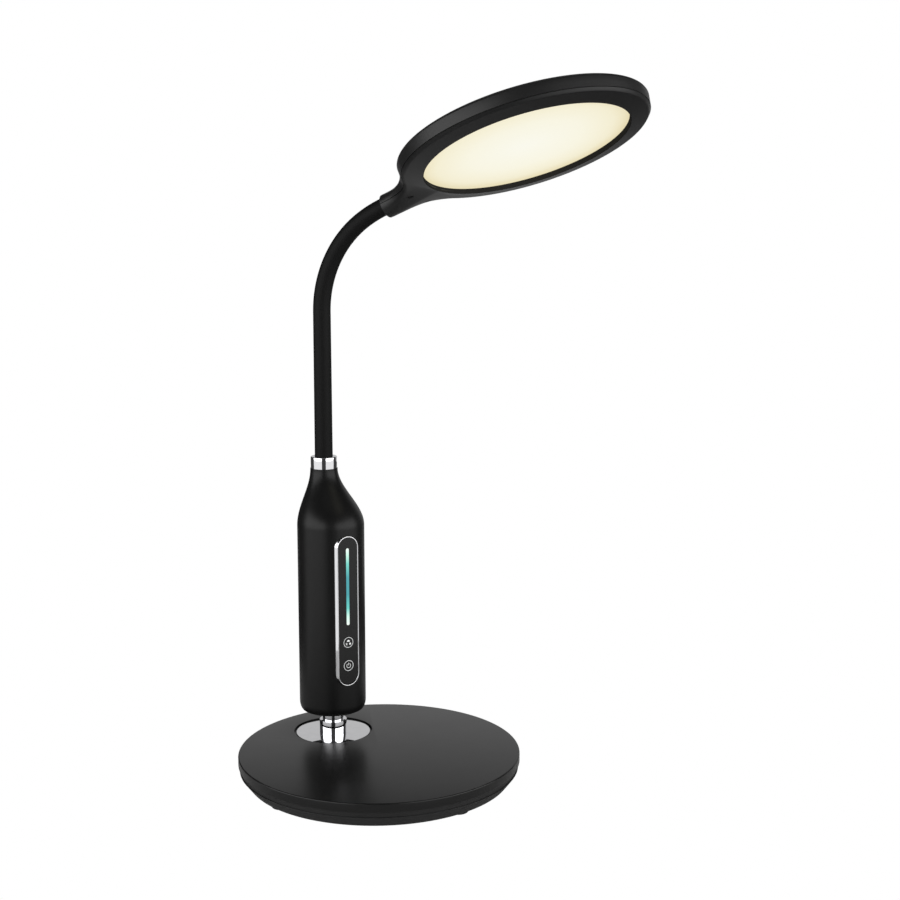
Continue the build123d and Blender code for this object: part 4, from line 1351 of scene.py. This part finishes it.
# %% [markdown]
# Grids of rows become a shell in four steps: mirror them, merge the doubled points, turn
# the faces outwards and give the surface a wall with Solidify.

# %% Helpers for the head's shells
head_wall = 1.8 * mm
head_inside = Vector((0, 30, 6)) * mm
head_merge = 0.01 * mm


def mirrored(grids):
    """Points and faces of grids of rows, with their mirror image across the arm."""
    points, faces = [], []
    for grid in grids:
        for side in (1, -1):
            first, count = len(points), len(grid[0])
            points += [(side * p.x, p.y, p.z) for row in grid for p in row]
            for a in range(len(grid) - 1):
                for b in range(count - 1):
                    one = first + a * count + b
                    corners = (one, one + 1, one + count + 1, one + count)
                    faces.append(corners if side > 0 else corners[::-1])
    return points, faces


def face_away(piece, inside):
    """Turns an open surface's normals away from a point inside it."""
    facing = sum(
        (face.center - inside).dot(face.normal) * face.area for face in piece.data.polygons
    )
    if facing < 0:
        piece.data.flip_normals()


def head_shell(name, grids, slot, node=None, holes=(), thickness=head_wall):
    """Shell of the head with a real wall, behind its grids. Without a node it faces inwards."""
    points, faces = mirrored(grids)
    piece = new_piece(name, points, faces)
    merge_points(piece, head_merge)
    face_away(piece, head_inside)
    if not node:
        piece.data.flip_normals()
    wall = piece.modifiers.new("wall", "SOLIDIFY")
    wall.thickness, wall.offset = thickness, -1
    bake(piece)
    if holes:
        cut(piece, *holes)
    piece.data.transform(head_way)
    return dress(piece, slot, "lamp_head", *([node] if node else []), crease=40)


print("walls of the head are", round(head_wall / mm, 1), "mm")

# %% [markdown]
# The bezel has two holes for its screws. The cover's columns stop above the lens's edge,
# so a second grid of rings closes the dome. A thin dark ring lines the step round the lens.

# %% Bezel, cover and dark ring
head_screw_spread, head_screw_back = 10.5 * mm, 82.0 * mm
head_screw_sunk, head_screw_hole = 1.2 * mm, 2.0 * mm
head_screw_spots = [(side * head_screw_spread, head_screw_back) for side in (1, -1)]
hole_start = -8 * mm
holes = [plug(head_screw_hole, hole_start, head_screw_sunk, spot) for spot in head_screw_spots]
bezel_grid = [bezel_column(column) for column in columns]
head_shell("head_bezel_moulding", [bezel_grid], "head_black", "head_bezel", holes)

dome_rings = 8
cover_grid = [cover_column(column) for column in columns]
top_grid = []
for column in columns[fillet_columns:]:
    spots = [column[2] * (1 - k / dome_rings) for k in range(dome_rings + 1)]
    top_grid.append([
        flat(spot, dome_foot + dome_rise * (1 - (spot.length / dome_radius) ** 2)) for spot in spots
    ])
head_shell("head_cover_moulding", [cover_grid, top_grid], "head_black", "head_cover")

recess_gap, recess_height = 0.05 * mm, 3.4 * mm
recess_share, recess_wall = 0.994, 0.35 * mm
recess_heights = (recess_gap, recess_height - recess_gap)
recess_grid = [
    [flat(column[2] * recess_share, height) for height in recess_heights]
    for column in columns[fillet_columns:]
]
head_shell("head_lens_recess", [recess_grid], "recess_black", thickness=recess_wall)

# %% [markdown]
# Two screws are sunk in the bezel beside the socket. They come from the same drawing and
# the same tree as the others. Their finish is painted shade: they are made black for the
# shadow in their deep holes, so they take another finish at the end.

# %% Sunk screws of the head
head_screw_length, head_screw_depth = 4.9 * mm, 0.7 * mm
head_screws = cross_screw("head_screws_sunk", head_screw_length, **small_screw)
run_tree(head_screws, repeat, Count=len(head_screw_spots), Circle=head_screw_spread,
         Middle=(0, head_screw_back, head_screw_depth), Material=finishes["screw_steel"])
head_screws.data.transform(head_way)
dress(head_screws, "screw_steel", "lamp_head", "head_screws")
# Painted shade: the black finish stands for the shadow in the screws' deep holes.
head_screws.data.materials[0] = finishes["screw_black"]

# %% [markdown]
# ## Finishes of the plain pieces
#
# The pieces that keep their plain solids, such as the board, the springs and the optics,
# still need their finish. The record says which material each node has.

# %% Finishes on the frame's own nodes
slots = {part["node"]: part["material_slot"] for part in frame["record"]["subparts"]}
finished = 0
for item in bpy.data.objects:
    slot = slots.get(item.name)
    if slot and item.type == "MESH":
        for place in item.material_slots:
            place.material = finishes[slot]
        finished += 1
print("plain solids with a finish:", finished, "of", len(slots))

# %% [markdown]
# ## Studio
#
# The camera sees a plain white floor and backdrop, but black and chrome mirror the room, so
# the room itself is dark. A white floor would light the lamp's undersides too much, so it is
# hidden from reflections, and a small pale table top takes its place there.

# %% World and floor
room_glow, backdrop_glow = 0.05, 1
floor_radius, table_radius, table_tone = 3.0, 0.28, 0.8
bpy.context.scene.view_settings.view_transform = "Standard"
world = bpy.data.worlds.new("studio")
bpy.context.scene.world = world
world.use_nodes = True
world.node_tree.nodes.clear()
sky = Wire(world.node_tree)
seen = sky.node("ShaderNodeLightPath", output="Is Camera Ray")
backdrop = sky.node("ShaderNodeBackground", sockets={
    "Color": mix_colours(sky, seen, grey(room_glow), grey(backdrop_glow)),
})
sky.node("ShaderNodeOutputWorld", sockets={"Surface": backdrop})


def stage_disc(name, radius, shader, **sockets):
    """Round level stage piece on the ground."""
    piece = new_piece(name, ring(radius, 0.0), [tuple(range(round_steps))])
    paper = start_finish(name)
    surface = paper.node(shader, sockets=sockets)
    paper.node("ShaderNodeOutputMaterial", sockets={"Surface": surface})
    piece.data.materials.append(finishes[name])
    return piece


floor = stage_disc("floor_seen", floor_radius, "ShaderNodeEmission", Color=grey(1), Strength=1.0)
floor.visible_glossy = floor.visible_diffuse = floor.visible_shadow = False
table = stage_disc("table_felt", table_radius, "ShaderNodeBsdfDiffuse", Color=grey(table_tone))
table.visible_camera = False
print("floor and table top laid")

# %% [markdown]
# Two wide soft lights stand to the left and right, dim below and bright above, and leave a
# narrow dark gap straight ahead, which chrome shows as a dark band between two white ones.
# A dimmer one behind gives the flat top of the base its even sheen. One overhead softens
# the tops, and one on the ground lights the head's bezel from below.

# %% Lights
side_distance, side_width = 0.95, 1.6
side_foot, side_step, side_top = -0.35, 0.12, 0.80
dim_glow, bright_glow = 0.85, 2.40
above_height, under_height = 1.3, 0.001


def soft_box(name, turn, distance, width, low, high, glow):
    """Upright area light at a turn from the camera's heading, facing the lamp."""
    heading = camera_heading + pi + turn
    away = Vector((sin(heading), cos(heading), 0))
    data = bpy.data.lights.new(name, "AREA")
    data.shape, data.size, data.size_y = "RECTANGLE", width, high - low
    data.energy = glow * pi * width * (high - low)
    light = bpy.data.objects.new(name, data)
    light.location = away * distance + up * (low + high) / 2
    light.rotation_euler = (-away).to_track_quat("-Z", "Y").to_euler()
    light.visible_camera = False
    bpy.context.scene.collection.objects.link(light)
    return light


for side, turn in (("left", radians(55)), ("right", radians(-61))):
    soft_box(f"light_{side}_low", turn, side_distance, side_width, side_foot, side_step, dim_glow)
    soft_box(f"light_{side}_high", turn, side_distance, side_width, side_step, side_top, bright_glow)
soft_box("light_behind", radians(190), distance=1.3, width=1.6, low=0.0, high=0.95, glow=0.48)
above = soft_box("light_above", radians(180), distance=0.25, width=1.2, low=0.0, high=1.2, glow=0.28)
above.location.z = above_height
above.rotation_euler = (0, 0, 0)
under = soft_box("light_under", radians(180), distance=0.95, width=0.8, low=0.0, high=1.0, glow=0.45)
under.location.z = under_height
under.rotation_euler = (pi, 0, -camera_heading)
print("studio ready")

# %% [markdown] ## The end
